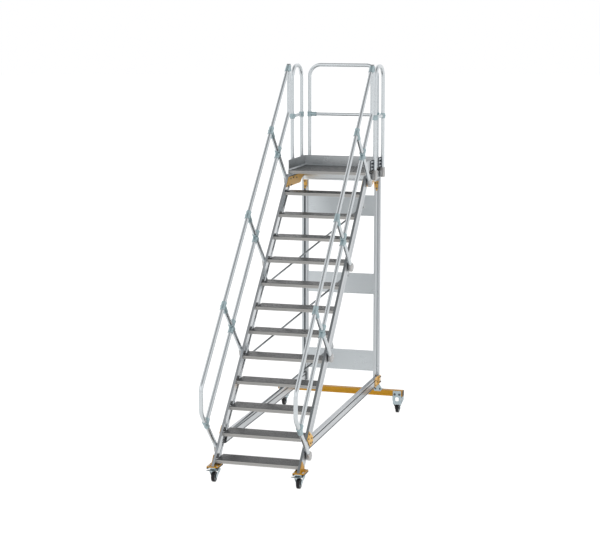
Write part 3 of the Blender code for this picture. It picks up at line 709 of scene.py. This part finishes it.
def clamp_bolt(shape, side, point):
    boss = Vector(point) + X * side * 0.0245
    shape.lathe(boss, X * side, [(0.0105, -0.004), (0.0100, 0.0028), (0.0080, 0.0034)], 0, 24)
    shape.bolt(boss + X * side * 0.0028, X * side, 1, 0.0052, 0.0030)


def make_top_rail(label, side):
    x = side * RAIL_X
    end_y = RAIL_TOP_Y - 0.012
    path = bent(
        [
            (x, end_y, end_y + RAIL_C), (x, RAIL_FRONT_Y, RAIL_FRONT_Y + RAIL_C),
            (x, RAIL_FRONT_Y, POST_S0 - RAIL_FRONT_Y),
            on_rail(side, POST_S0, 0.070),
        ],
        RAIL_BEND,
        16,
    )
    shape = Shape().tube(path, TUBE_R, 0, 40)
    piece("handrail_" + label, shape, [ALUMINIUM], stands_for=["top_rail_" + label])

    shape = Shape()
    top = Vector((x, RAIL_TOP_Y, 3.7765))
    shape.sleeve(top, Z, 0.0315, 0.0250)
    arm = Vector((x, RAIL_TOP_Y - 0.012, RAIL_TOP_Y - 0.012 + RAIL_C))
    low = arm - UP * 0.075
    shape.tube([arm, low + UP * 0.02, low + UP * 0.004, low], 0.0246, 0, 32)
    clamp_bolt(shape, side, top - Z * 0.004)
    piece("rail_end_joint_" + label, shape, [CAST, STEEL])

    shape = Shape()
    foot_casting(shape, side, POST_S0)
    piece("rail_foot_" + label + "_0", shape, [CAST_LIGHT, STEEL])


def make_knee_rail(label, side):
    x = side * RAIL_X
    path = bent(
        [
            on_rail(side, POST_S0 + 0.022, KNEE_C),
            (x, RAIL_TOP_Y, RAIL_TOP_Y + KNEE_C), (x, RAIL_TOP_Y, RAIL_TOP_Z - 0.004),
        ],
        KNEE_BEND,
        12,
    )
    shape = Shape().tube(path, TUBE_R, 0, 40)
    piece("knee_tube_" + label, shape, [ALUMINIUM], stands_for=["knee_rail_" + label])
    shape = Shape()
    profile = [
        (0.0185, -0.012), (0.0206, -0.006), (0.0206, -0.002), (0.0190, -0.0006), (0.0150, 0.0),
    ]
    shape.lathe((x, RAIL_TOP_Y, RAIL_TOP_Z), Z, profile)
    piece("knee_tube_cap_" + label, shape, [CAP_AND_FORK_SHADE])
    shape = Shape()
    cross = on_rail(side, POST_S0, KNEE_C)
    shape.sleeve(cross, ACROSS, 0.046, 0.0252)
    stub = cross + UP * 0.060
    shape.tube([cross, cross + UP * 0.02, stub - UP * 0.003, stub], 0.0250, 0, 32)
    clamp_bolt(shape, side, cross)
    piece("knee_joint_" + label + "_0", shape, [CAST, STEEL])


def make_post(label, side, number):
    s = POST_S0 + number * POST_PITCH
    shape = Shape().tube([on_rail(side, s, 0.070), on_rail(side, s, RAIL_C - 0.012)], TUBE_R, 0, 40)
    node = "post_%s_%d" % (label, number)
    piece("stanchion_%s_%d" % (label, number), shape, [ALUMINIUM], stands_for=[node])

    shape = Shape()
    top = on_rail(side, s, RAIL_C)
    shape.sleeve(top, UP, 0.046, 0.0252)
    profile = [
        (0.0225, -0.098), (0.0236, -0.096), (0.0240, -0.088), (0.0250, -0.050), (0.0262, -0.020),
        (0.0255, 0.0),
    ]
    shape.lathe(top, ACROSS, profile)
    clamp_bolt(shape, side, top)
    piece("rail_joint_%s_%d" % (label, number), shape, [CAST, STEEL])

    shape = Shape()
    cross = on_rail(side, s, KNEE_C)
    shape.sleeve(cross, UP, 0.074, 0.0250)
    shape.sleeve(cross, ACROSS, 0.044, 0.0256)
    clamp_bolt(shape, side, cross)
    piece("knee_joint_%s_%d" % (label, number), shape, [CAST, STEEL])

    shape = Shape()
    foot_casting(shape, side, s)
    piece("rail_foot_%s_%d" % (label, number), shape, [CAST_LIGHT, STEEL])


# ---- guards ----
def make_side_guard(label, side):
    x = side * SIDE_GUARD_X
    y0, y1 = SIDE_GUARD_Y
    low = SIDE_BEAM_Z[0] + 0.008
    corners = [(x, y0, low), (x, y0, GUARD_Z), (x, y1, GUARD_Z), (x, y1, low)]
    shape = Shape().tube(bent(corners, SIDE_BEND, 18), TUBE_R, 0, 40)
    mid = GUARD_MID_Z
    shape.tube([(x, y0 + 0.01, mid), (x, y1 - 0.01, mid)], INNER_TUBE_R, 0, 36)
    node = "side_guard_" + label
    piece("side_hoop_" + label, shape, [ALUMINIUM], stands_for=[node])

    shape = Shape()
    for y, sign in ((y0, 1), (y1, -1)):
        shape.sleeve((x, y, mid), Z, 0.027, 0.0250)
        shape.sleeve((x, y + sign * 0.028, mid), Y, 0.030, 0.0232)
        clamp_bolt(shape, side, (x, y, mid))
    piece("side_hoop_joints_" + label, shape, [CAST, STEEL])

    shape = Shape()
    for y in (y0, y1):
        x0, x1 = span(side, STRINGER_OUT + GAP, SIDE_GUARD_X + 0.0255)
        outline = rounded(rect(x0, x1, y - 0.029, y + 0.029), 0.012)
        shape.prism(outline, "z", low + 0.002, PLATFORM_Z + 0.001)
        out = side * (SIDE_GUARD_X + 0.0255)
        shape.bolt((out, y, low + 0.052), (side, 0, 0), 1, 0.0065, 0.0040)
    piece("guard_sockets_" + label, shape, [CAST_LIGHT, STEEL], bevel=0.0014)

    shape = Shape()
    for y in (y0, y1):
        x0, x1 = span(side, TOE_X + GAP, TOE_X + 0.0063)
        outline = rect(y - 0.092, y + 0.010, PLATFORM_Z + 0.0005, 2.816)
        shape.prism(rounded(outline, 0.008), "x", x0, x1)
        for z in (2.726, 2.762, 2.798):
            for dy in (-0.076, -0.040):
                shape.bolt((side * (TOE_X + 0.0063), y + dy, z), (side, 0, 0), 1, 0.0085, 0.0110)
    piece("guard_brackets_" + label, shape, [DARK_STEEL_AND_SLOT_SHADE, STEEL], bevel=0.0010)


def make_rear_guard():
    x = REAR_GUARD_X
    y = REAR_GUARD_Y
    low = 2.544
    mid = GUARD_MID_Z
    corners = [(-x, y, low), (-x, y, GUARD_Z), (x, y, GUARD_Z), (x, y, low)]
    shape = Shape().tube(bent(corners, REAR_BEND, 16), TUBE_R, 0, 40)
    shape.tube([(-x + 0.01, y, mid), (x - 0.01, y, mid)], INNER_TUBE_R, 0, 36)
    piece("rear_hoop", shape, [ALUMINIUM], stands_for=["rear_guard"])
    shape = Shape()
    for side in (-1, 1):
        shape.sleeve((side * x, y, mid), Z, 0.027, 0.0242)
        shape.sleeve((side * (x - 0.040), y, mid), X, 0.038, 0.0232)
    piece("rear_hoop_joints", shape, [CAST, STEEL])
    shape = Shape()
    back = UPRIGHT_Y[1] + GAP
    for side in (-1, 1):
        for z in (2.546, 2.640):
            outline = rect(side * x - 0.027, side * x + 0.027, back, y + 0.024)
            shape.prism(rounded(outline, 0.014), "z", z, z + 0.042)
    piece("rear_hoop_brackets", shape, [CAST_LIGHT], bevel=0.0014)


# ---- support frame ----
def make_upright(label, side):
    """Rear post with a stepped front and a groove; the left one's inner faces are painted darker,
    as shade.
    """
    inner, outer = UPRIGHT_X
    front, back = UPRIGHT_Y
    section = [
        (inner, front), (inner + 0.022, front), (inner + 0.036, front + 0.012),
        (outer - 0.022, front + 0.015), (outer - 0.021, front), (outer, front),
        (outer, front + 0.016), (outer - 0.003, front + 0.018), (outer - 0.003, front + 0.026),
        (outer, front + 0.028), (outer, back), (inner, back),
    ]
    ends = (TRAVERSE_Z[1] + GAP, SIDE_BEAM_Z[0] - GAP)
    rings = [[(side * a, b, z) for a, b in section] for z in ends]
    # Painted shade: on the left post the inner flange takes the stringer grey and the inner faces
    # the darker grey.
    shaded = {0: 1, 1: 2, 2: 2, 11: 2} if side < 0 else {}
    shape = Shape().skin(rings, looks=lambda i: shaded.get(i, 0))
    looks = [PROFILE, STRINGER, SHADE_GREY]
    node = "upright_" + label
    piece("support_post_" + label, shape, looks, stands_for=[node], bevel=0.0014)


def make_post_bracket(label, side):
    """Amber plate and web under the rear beam, bolted to the upright's front."""
    inner = UPRIGHT_X[0]
    front = UPRIGHT_Y[0]
    top = REAR_BEAM_Z[0] - GAP
    triangle = [
        (side * (inner + 0.004), top), (side * (inner + 0.050), top),
        (side * (inner + 0.036), 2.452), (side * (inner + 0.020), 2.452),
    ]
    face = front - GAP - SHEET
    shape = Shape().prism(rounded(triangle, 0.006), "y", face, front - GAP)
    web = [(front - 0.004, top), (front - 0.044, top), (front - 0.004, 2.470)]
    x0, x1 = span(side, inner + 0.0045, inner + 0.0090)
    shape.prism(web, "x", x0, x1)
    for a, b in ((0.017, 2.535), (0.038, 2.535), (0.028, 2.478)):
        shape.bolt((side * (inner + a), face, b), (0, -1, 0), 1, 0.0062, 0.0045)
    piece("post_bracket_" + label, shape, [AMBER_PLATE, DARK_STEEL_AND_SLOT_SHADE], bevel=0.0009)


def make_post_foot(label, side):
    """Zinc plate, web and shelf that stand the upright on the traverse."""
    inner, outer = UPRIGHT_X
    face = TRAVERSE_Y[0] - GAP
    foot = [
        (side * (inner + 0.018), 0.236), (side * (inner + 0.018), 0.290),
        (side * (outer + 0.014), 0.312), (side * (outer + 0.042), 0.266),
        (side * (outer + 0.028), 0.236),
    ]
    shape = Shape().prism(rounded(foot, 0.006), "y", face - 0.006, face)
    z0 = TRAVERSE_Z[1] + GAP
    z1 = z0 + SHEET
    y0, y1 = UPRIGHT_Y[0] + 0.002, face - 0.0055
    web = [(y0, z1), (y0, 0.322), (y1, 0.322), (y1, 0.240)]
    x0, x1 = span(side, outer + GAP, outer + GAP + SHEET)
    shape.prism(web, "x", x0, x1)
    x0, x1 = span(side, inner + 0.018, outer + 0.040)
    shape.box(x0, x1, face - 0.002, TRAVERSE_Y[1] - 0.006, z0, z1)
    for a in (inner + 0.034, outer + 0.018):
        shape.bolt((side * a, face - 0.006, 0.262), (0, -1, 0), 1, 0.0080, 0.0065)
    shape.bolt((side * (outer + GAP + SHEET), 3.062, 0.296), (side, 0, 0), 1, 0.0070, 0.0055)
    piece("post_foot_" + label, shape, [ZINC, DARK_STEEL_AND_SLOT_SHADE], bevel=0.0010)


def make_cross_panels():
    x = UPRIGHT_X[0] - GAP
    y0 = UPRIGHT_Y[0] + 0.008
    for number, mid in enumerate(PANEL_Z):
        half = PANEL_HALF
        section = [
            (y0, -half), (y0, -half + 0.010), (y0 + 0.0012, -half + 0.011),
            (y0 + 0.0012, half - 0.011), (y0, half - 0.010), (y0, half), (y0 + 0.026, half),
            (y0 + 0.026, 0.035), (y0 + 0.020, 0.030), (y0 + 0.020, -0.030), (y0 + 0.026, -0.035),
            (y0 + 0.026, -half),
        ]
        shape = Shape().prism([(a, mid + b) for a, b in section], "x", -x, x)
        node = "cross_panel_%d" % (number + 1)
        name = "back_panel_%d" % (number + 1)
        piece(name, shape, [PANEL], stands_for=[node], bevel=0.0012)


def make_base_rail(label, side):
    """Slotted profile low at each side, from the stringer's back to the upright."""
    z0, z1 = BASE_Z
    low_x, out_x = BASE_X
    end_y = UPRIGHT_Y[0] - 0.0205
    section = [
        (low_x, z0), (out_x, z0), (out_x, z0 + 0.006), (out_x - 0.006, z0 + 0.0065),
        (out_x - 0.006, z0 + 0.0135), (out_x, z0 + 0.014), (out_x, z1 - 0.030),
        (out_x - 0.007, z1 - 0.0295), (out_x - 0.007, z1 - 0.0175), (out_x, z1 - 0.017),
        (out_x, z1), (low_x, z1), (low_x, z1 - 0.017), (low_x + 0.005, z1 - 0.0175),
        (low_x + 0.005, z1 - 0.0295), (low_x, z1 - 0.030), (low_x, z0 + 0.014),
        (low_x + 0.005, z0 + 0.0135), (low_x + 0.005, z0 + 0.0065), (low_x, z0 + 0.006),
    ]
    clear = STRINGER_C[0] - 0.001
    low = [(side * x, z - clear, z) for x, z in section]
    high = [(side * x, end_y, z) for x, z in section]
    # The slot faces take the dark steel: painted shade in the grooves.
    slots = {2, 3, 4, 6, 7, 8, 12, 13, 14, 16, 17, 18}
    shape = Shape().skin([low, high], looks=lambda i: 1 if i in slots else 0)
    node = "base_beam_" + label
    piece("base_rail_" + label, shape, [STRINGER, DARK_STEEL_AND_SLOT_SHADE], stands_for=[node], bevel=0.0010)


def make_base_plates(label, side):
    """Amber plates that bolt the base rail to the stringer and round the upright."""
    z0, z1 = BASE_Z
    out_x = BASE_X[1]
    p0 = STRINGER_OUT + 0.0018
    p1 = out_x + 0.005
    x0, x1 = span(side, p0, p1)
    front = [(0.262, 0.478), (0.385, 0.398), (0.385, 0.336), (0.290, 0.318), (0.198, 0.412)]
    shape = Shape().prism(rounded(front, 0.010), "x", x0, x1)
    for y, z in ((0.260, 0.448), (0.232, 0.410), (0.340, 0.392), (0.352, 0.350), (0.300, 0.352)):
        shape.bolt((side * p1, y, z), (side, 0, 0), 1)
    rear = rect(2.905, 3.0362, z0 + 0.001, z1 + 0.010)
    shape.prism(rounded(rear, 0.006), "x", x0, x1)
    q0, q1 = span(side, UPRIGHT_X[1] + GAP, UPRIGHT_X[1] + 0.0055)
    wrap = rect(3.030, 3.126, z0 + 0.009, z1 + 0.004)
    shape.prism(rounded(wrap, 0.006), "x", q0, q1)
    j0, j1 = span(side, out_x + 0.001, UPRIGHT_X[1] + 0.005)
    shape.box(j0, j1, 3.030, 3.0362, z0 + 0.010, z1 + 0.003)
    for y, z in ((2.930, 0.378), (2.930, 0.326), (3.000, 0.352)):
        shape.bolt((side * p1, y, z), (side, 0, 0), 1)
    out = side * (UPRIGHT_X[1] + 0.0055)
    for z in (0.330, 0.384):
        shape.bolt((out, 3.075, z), (side, 0, 0), 1)
        shape.bolt((out, 3.112, z), (side, 0, 0), 1, 0.0075, 0.0095)
    piece("base_plates_" + label, shape, [AMBER_PLATE, DARK_STEEL_AND_SLOT_SHADE], bevel=0.0009)


def make_traverse():
    y0, y1 = TRAVERSE_Y
    z0, z1 = TRAVERSE_Z
    mid = 0.5 * (z0 + z1)
    section = [
        (y0, z0), (y0, mid - 0.009), (y0 + 0.0035, mid - 0.006), (y0 + 0.0035, mid + 0.006),
        (y0, mid + 0.009), (y0, z1), (y1, z1), (y1, mid + 0.009), (y1 - 0.0035, mid + 0.006),
        (y1 - 0.0035, mid - 0.006), (y1, mid - 0.009), (y1, z0),
    ]
    half = TRAVERSE_HALF - 0.004
    shape = Shape().prism(section, "x", -half, half)
    piece("cross_bar", shape, [AMBER], stands_for=["traverse"], bevel=0.0022)
    shape = Shape()
    outline = rounded(rect(y0, y1, z0, z1), 0.005)
    plug = rounded(rect(y0 + 0.012, y1 - 0.012, z0 + 0.012, z1 - 0.012), 0.004)
    for side in (-1, 1):
        x0, x1 = span(side, half + 0.0002, TRAVERSE_HALF)
        shape.prism(outline, "x", x0, x1)
        x0, x1 = span(side, half - 0.010, half + 0.001)
        shape.prism(plug, "x", x0, x1)
    piece("cross_bar_caps", shape, [CAP_AND_FORK_SHADE], bevel=0.0010)


# ---- castors ----
def make_wheel(name, body, node, x, y):
    """Rubber tyre on a moulded core with a bearing hub."""
    half = 0.017
    centre = (x, y, WHEEL_R)
    shape = Shape()
    tread = []
    for k in range(13):
        w = (-1.0 + k / 6.0) * 0.0145
        tread.append((WHEEL_R - 0.0018 * (w / 0.0145) ** 2, w))
    wall = [(0.0385, 0.0150), (0.0440, half - 0.0008), (0.0468, 0.0160)]
    shape.lathe(centre, X, mirrored(wall, tread), 0, 56, loop=True)
    core = [
        (0.0135, half - 0.0035), (0.0280, half - 0.0035), (0.0300, half - 0.0010),
        (0.0388, half - 0.0006),
    ]
    shape.lathe(centre, X, mirrored(core), 1, 56, loop=True)
    hub = [(0.0064, 0.0205), (0.0120, 0.0205), (0.0140, 0.0180)]
    shape.lathe(centre, X, mirrored(hub, [(0.0145, 0.0)]), 2, 40, loop=True)
    piece(name, shape, [RUBBER, CORE, CAP_AND_FORK_SHADE], body, [node])


def make_foot_mount(label, side):
    """Amber foot plate of the stringer, its ears, the rubber strips and the castor's top plate."""
    x0, x1 = span(side, 0.366, 0.475)
    y0, y1 = -0.075, 0.100
    shape = Shape()
    plate = rounded(rect(x0, x1, y0, y1), 0.014)
    shape.prism(plate, "z", PLATE_Z[0], PLATE_Z[1])
    top = PLATE_Z[1] - 0.0005
    ear = [(-0.058, top), (0.098, top), (0.098, 0.174), (0.022, 0.252)]
    e0, e1 = span(side, STRINGER_OUT + GAP, STRINGER_OUT + 0.0055)
    shape.prism(rounded(ear, 0.006), "x", e0, e1)
    inner = [(0.020, top), (0.098, top), (0.098, 0.172), (0.055, 0.172)]
    i0, i1 = span(side, 0.367, 0.372)
    shape.prism(rounded(inner, 0.004), "x", i0, i1)
    node = "foot_plate_" + label
    piece("foot_mount_" + label, shape, [AMBER], stands_for=[node], bevel=0.0010)

    shape = Shape()
    for a, b in ((x0 + 0.0005, x0 + 0.0185), (x1 - 0.0185, x1 - 0.0005)):
        strip = rounded(rect(a, b, y0 + 0.001, y1 - 0.001), 0.005)
        shape.prism(strip, "z", PAD_LOW, PLATE_Z[0] - 0.0002)
    piece("foot_strips_" + label, shape, [RUBBER], bevel=0.0012)

    shape = Shape()
    mount = rounded(rect(x0 + 0.019, x1 - 0.019, y0 + 0.004, y1 - 0.004), 0.006)
    shape.prism(mount, "z", PAD_LOW + 0.0040, PLATE_Z[0] - 0.0002)
    cx = side * FRONT_X
    race = [(0.0330, 0.0045), (0.0325, 0.0012), (0.0310, 0.0003)]
    shape.lathe((cx, SWIVEL_Y, PAD_LOW), Z, race, 0, 48)
    bolts = ((-0.040, -0.050), (0.044, -0.050), (-0.040, 0.080), (0.044, 0.080), (0.040, -0.018))
    for a, b in bolts:
        shape.bolt((cx + side * a, b, PLATE_Z[1]), Z, 1, 0.0072, 0.0060)
    piece("castor_plate_" + label, shape, [ZINC, STEEL], bevel=0.0008)


def cheek_ring(x, sign, inner, outer, y0, y1, z, taper=0.0):
    """Level ring of a fork cheek on one side of x; taper narrows its outer face."""
    a, b = x + sign * inner, x + sign * outer
    return [(a, y0, z), (b, y0 + taper, z), (b, y1 - taper, z), (a, y1, z)]


def make_front_fork(label, side):
    """Swivel head, two cheeks and the axle of a front castor."""
    x = side * FRONT_X
    dish = [
        (0.0300, 0.1340), (0.0365, 0.1335), (0.0385, 0.1310), (0.0385, 0.1265), (0.0360, 0.1235),
        (0.0370, 0.1195), (0.0375, 0.1180), (0.0375, 0.1095), (0.0430, 0.1083), (0.0455, 0.1070),
        (0.0440, 0.1046), (0.0300, 0.1040),
    ]
    shape = Shape().lathe((x, SWIVEL_Y, 0.0), Z, dish, 0, 56)
    profile = [
        (0.1185, 0.032, -0.026, 0.047), (0.1172, 0.0415, -0.027, 0.048),
        (0.1140, 0.0430, -0.027, 0.048), (0.1070, 0.0430, -0.027, 0.048),
        (0.1050, 0.0430, -0.034, 0.048), (0.0980, 0.0420, -0.037, 0.048),
        (0.0860, 0.0375, -0.038, 0.047), (0.0740, 0.0325, -0.038, 0.037),
        (0.0620, 0.0285, -0.037, 0.026), (0.0500, 0.0275, -0.035, 0.014),
        (0.0400, 0.0275, -0.030, 0.002), (0.0340, 0.0275, -0.024, -0.010),
    ]
    for sign in (-1, 1):
        rings = []
        for z, w, back, ahead in profile:
            inner = max(w - 0.0045, 0.0215)
            rings.append(cheek_ring(x, sign, inner, w, back + 0.001, ahead - 0.001, z, 0.002))
        shape.skin(rings)
    for sign in (-1, 1):
        face = Vector((x + sign * 0.0275, FRONT_AXLE_Y, WHEEL_R))
        shape.bolt(face, (sign, 0, 0), 1, 0.0080, 0.0040)
    shape.lathe((x, FRONT_AXLE_Y, WHEEL_R), X, [(0.0062, -0.028), (0.0062, 0.028)], 1, 24)
    node = "castor_fork_" + label
    piece("fork_" + label, shape, [ZINC, STEEL], "swivel_" + label, [node], bevel=0.0010)


def make_brake(label, side):
    """Brake lever that spreads towards its free end, on a pin across the fork."""
    x = side * FRONT_X
    lever = (  # y, top z, left edge, right edge, thickness
        (-0.0340, 0.1215, -0.017, 0.017, 0.0080),
        (-0.0500, 0.1228, -0.022, 0.018, 0.0060),
        (-0.0640, 0.1234, -0.046, 0.020, 0.0045),
        (-0.0780, 0.1228, -0.060, 0.018, 0.0042),
        (-0.0855, 0.1218, -0.059, 0.015, 0.0030),
    )
    rings = []
    for y, z, left, right, thick in lever:
        rings.append([(a, y, b) for a, b in rect(x + left, x + right, z - thick, z)])
    shape = Shape().skin(rings)
    pin = mirrored([(0.0052, 0.0195), (0.0066, 0.018)])
    shape.lathe((x, -0.034, 0.1155), X, pin, 0, 28)
    node = "brake_pedal_" + label
    piece("brake_lever_" + label, shape, [ZINC], "brake_" + label, [node], bevel=0.0008)


def make_rear_castor(label, side):
    x = side * REAR_X
    y = REAR_AXLE_Y
    face = TRAVERSE_Y[0] - GAP
    shape = Shape()

    def plate(y0, y1, bottom, top, window):
        half, z0, z1 = window
        outer = rounded(rect(x - 0.046, x + 0.046, bottom, top), 0.006, 5)
        inner = rounded(rect(x - half, x + half, z0, z1), 0.012, 5)
        rings = []
        for outline, level in ((outer, y0), (inner, y0), (inner, y1), (outer, y1)):
            rings.append([(a, level, b) for a, b in outline])
        shape.skin(rings, 0, loop=True)

    under = TRAVERSE_Z[0] - 0.0005
    plate(face - 0.0055, face, 0.0965, 0.2490, (0.019, 0.134, 0.178))
    plate(y + 0.0255, y + 0.0305, 0.1070, under, (0.036, 0.1145, 0.165))
    shape.box(x - 0.041, x + 0.041, face - 0.002, y + 0.030, 0.1062, 0.1115)
    profile = [
        (0.1864, 0.0573, -0.0140, 0.0598), (0.1480, 0.0573, -0.0140, 0.0598),
        (0.1370, 0.0568, -0.0140, 0.0540), (0.1150, 0.0490, -0.0180, 0.0420),
        (0.1050, 0.0450, -0.0345, 0.0365), (0.0900, 0.0392, -0.0270, 0.0285),
        (0.0660, 0.0298, -0.0160, 0.0155), (0.0580, 0.0284, -0.0130, 0.0130),
        (0.0420, 0.0284, -0.0105, 0.0105), (0.0345, 0.0284, -0.0070, 0.0070),
    ]
    for sign in (-1, 1):
        rings = []
        shade_lining = []
        guard = []
        for z, w, back, ahead in profile:
            inner = max(w - 0.0050, 0.0232)
            front, rear = y + back, y + ahead
            rings.append(cheek_ring(x, sign, inner, w, front, rear, z, 0.002))
            # Thin dark sheets on the cheeks' inner faces and front edges: painted shade inside the
            # fork.
            if z < 0.100:
                inside = (inner - 0.0016, w - 0.0012)
                guard.append(cheek_ring(x, sign, *inside, front - 0.0022, front - 0.0002, z))
            if 0.055 < z < 0.108:
                inside = (inner - 0.0016, inner + 0.0004)
                shade_lining.append(cheek_ring(x, sign, *inside, front + 0.001, rear - 0.004, z))
        shape.skin(rings)
        shape.skin(shade_lining, 2)
        shape.skin(guard, 2)
    for a in (-0.026, 0.026):
        shape.bolt((x + a, face - 0.0055, 0.209), (0, -1, 0), 3, 0.0105, 0.0085)
    for sign in (-1, 1):
        shape.bolt((x + sign * 0.0284, y, WHEEL_R), (sign, 0, 0), 1, 0.0085, 0.0050)
    shape.lathe((x, y, WHEEL_R), X, [(0.0062, -0.028), (0.0062, 0.028)], 1, 24)
    node = "rear_castor_" + label
    looks = [ZINC, STEEL, CAP_AND_FORK_SHADE, DARK_STEEL_AND_SLOT_SHADE]
    piece("rear_fork_" + label, shape, looks, "frame", [node], bevel=0.0010)
    make_wheel("rear_tyre_" + label, "rear_wheel_" + label, "rear_wheel_" + label, x, y)


# ---- stage ----
def make_stage():
    shape = Shape().lathe((0.0, 0.0, -0.002), Z, [(90.0, -0.01), (90.0, 0.001)], 0, 96)
    n = Nodes("floor_white")
    speck = n.noise(n.coords(), 2.0, 2.0)
    n.tint(speck, ((0.3, (0.24, 0.24, 0.24)), (0.7, (0.26, 0.26, 0.26))))
    n.set(Roughness=0.9)
    n.shader.inputs["Emission Color"].default_value = (1.0, 1.0, 1.0, 1.0)
    n.shader.inputs["Emission Strength"].default_value = FLOOR_GLOW
    mesh = bpy.data.meshes.new("floor")
    shape.bm.to_mesh(mesh)
    shape.bm.free()
    mesh.materials.append(n.mat)
    floor = add_object("floor", mesh)


def make_world():
    """Studio dome: white round the horizon, dim overhead."""
    world = bpy.data.worlds.new("studio")
    bpy.context.scene.world = world
    world.use_nodes = True
    tree = world.node_tree
    back = tree.nodes["Background"]
    coords = tree.nodes.new("ShaderNodeTexCoord")
    split = tree.nodes.new("ShaderNodeSeparateXYZ")
    ramp = tree.nodes.new("ShaderNodeValToRGB")
    tree.links.new(coords.outputs["Generated"], split.inputs["Vector"])
    tree.links.new(split.outputs["Z"], ramp.inputs["Fac"])
    tree.links.new(ramp.outputs["Color"], back.inputs["Color"])
    greys = ((0.0, 0.80), (0.25, 0.92), (0.70, 0.92), (0.85, 0.62), (0.97, 0.26))
    set_stops(ramp.color_ramp, [(at, (grey, grey, grey * 1.01)) for at, grey in greys])
    back.inputs["Strength"].default_value = DOME_LIGHT


def aim(obj, way):
    obj.rotation_mode = "QUATERNION"
    obj.rotation_quaternion = way.to_track_quat("-Z", "Y")


def area_light(name, place, target, size, power):
    data = bpy.data.lights.new(name, "AREA")
    data.shape = "RECTANGLE"
    data.size, data.size_y = size
    data.energy = power
    light = add_object(name, data)
    light.location = place
    aim(light, Vector(target) - Vector(place))


def make_camera():
    data = bpy.data.cameras.new("camera")
    data.sensor_width = 36.0
    data.lens = CAMERA_LENS
    data.clip_end = 400.0
    camera = add_object("camera", data)
    camera.location = Vector(CAMERA_PLACE) + Y * SHIFT_Y
    yaw, pitch = math.radians(CAMERA_YAW), math.radians(CAMERA_PITCH)
    level = math.cos(pitch)
    aim(camera, Vector((-math.sin(yaw) * level, math.cos(yaw) * level, math.sin(pitch))))
    bpy.context.scene.camera = camera


make_camera()
for label, side in SIDES:
    make_stringer(label, side)
    make_top_rail(label, side)
    make_knee_rail(label, side)
    for number in (1, 2, 3):
        make_post(label, side, number)
    make_side_guard(label, side)
    make_base_rail(label, side)
    make_base_plates(label, side)
    make_foot_mount(label, side)
    make_front_fork(label, side)
    tyre, node = "front_tyre_" + label, "castor_wheel_" + label
    make_wheel(tyre, "front_wheel_" + label, node, side * FRONT_X, FRONT_AXLE_Y)
    make_brake(label, side)
    make_rear_castor(label, side)
for index in range(TREADS):
    make_tread(index)
make_braces()
make_deck()
make_toe_boards()
make_platform_beams()
make_stair_plates()
make_rear_guard()
for label, side in SIDES:
    make_upright(label, side)
    make_post_bracket(label, side)
    make_post_foot(label, side)
make_cross_panels()
make_traverse()
make_stage()
make_world()
area_light("key", (-5.0, -8.0, 6.0), (0.0, 0.0, 1.8), (5.0, 5.0), 40.0)
area_light("fill", (7.0, -4.0, 5.0), (0.0, 0.0, 1.8), (4.0, 5.0), 20.0)
bpy.context.scene.view_settings.view_transform = "Standard"
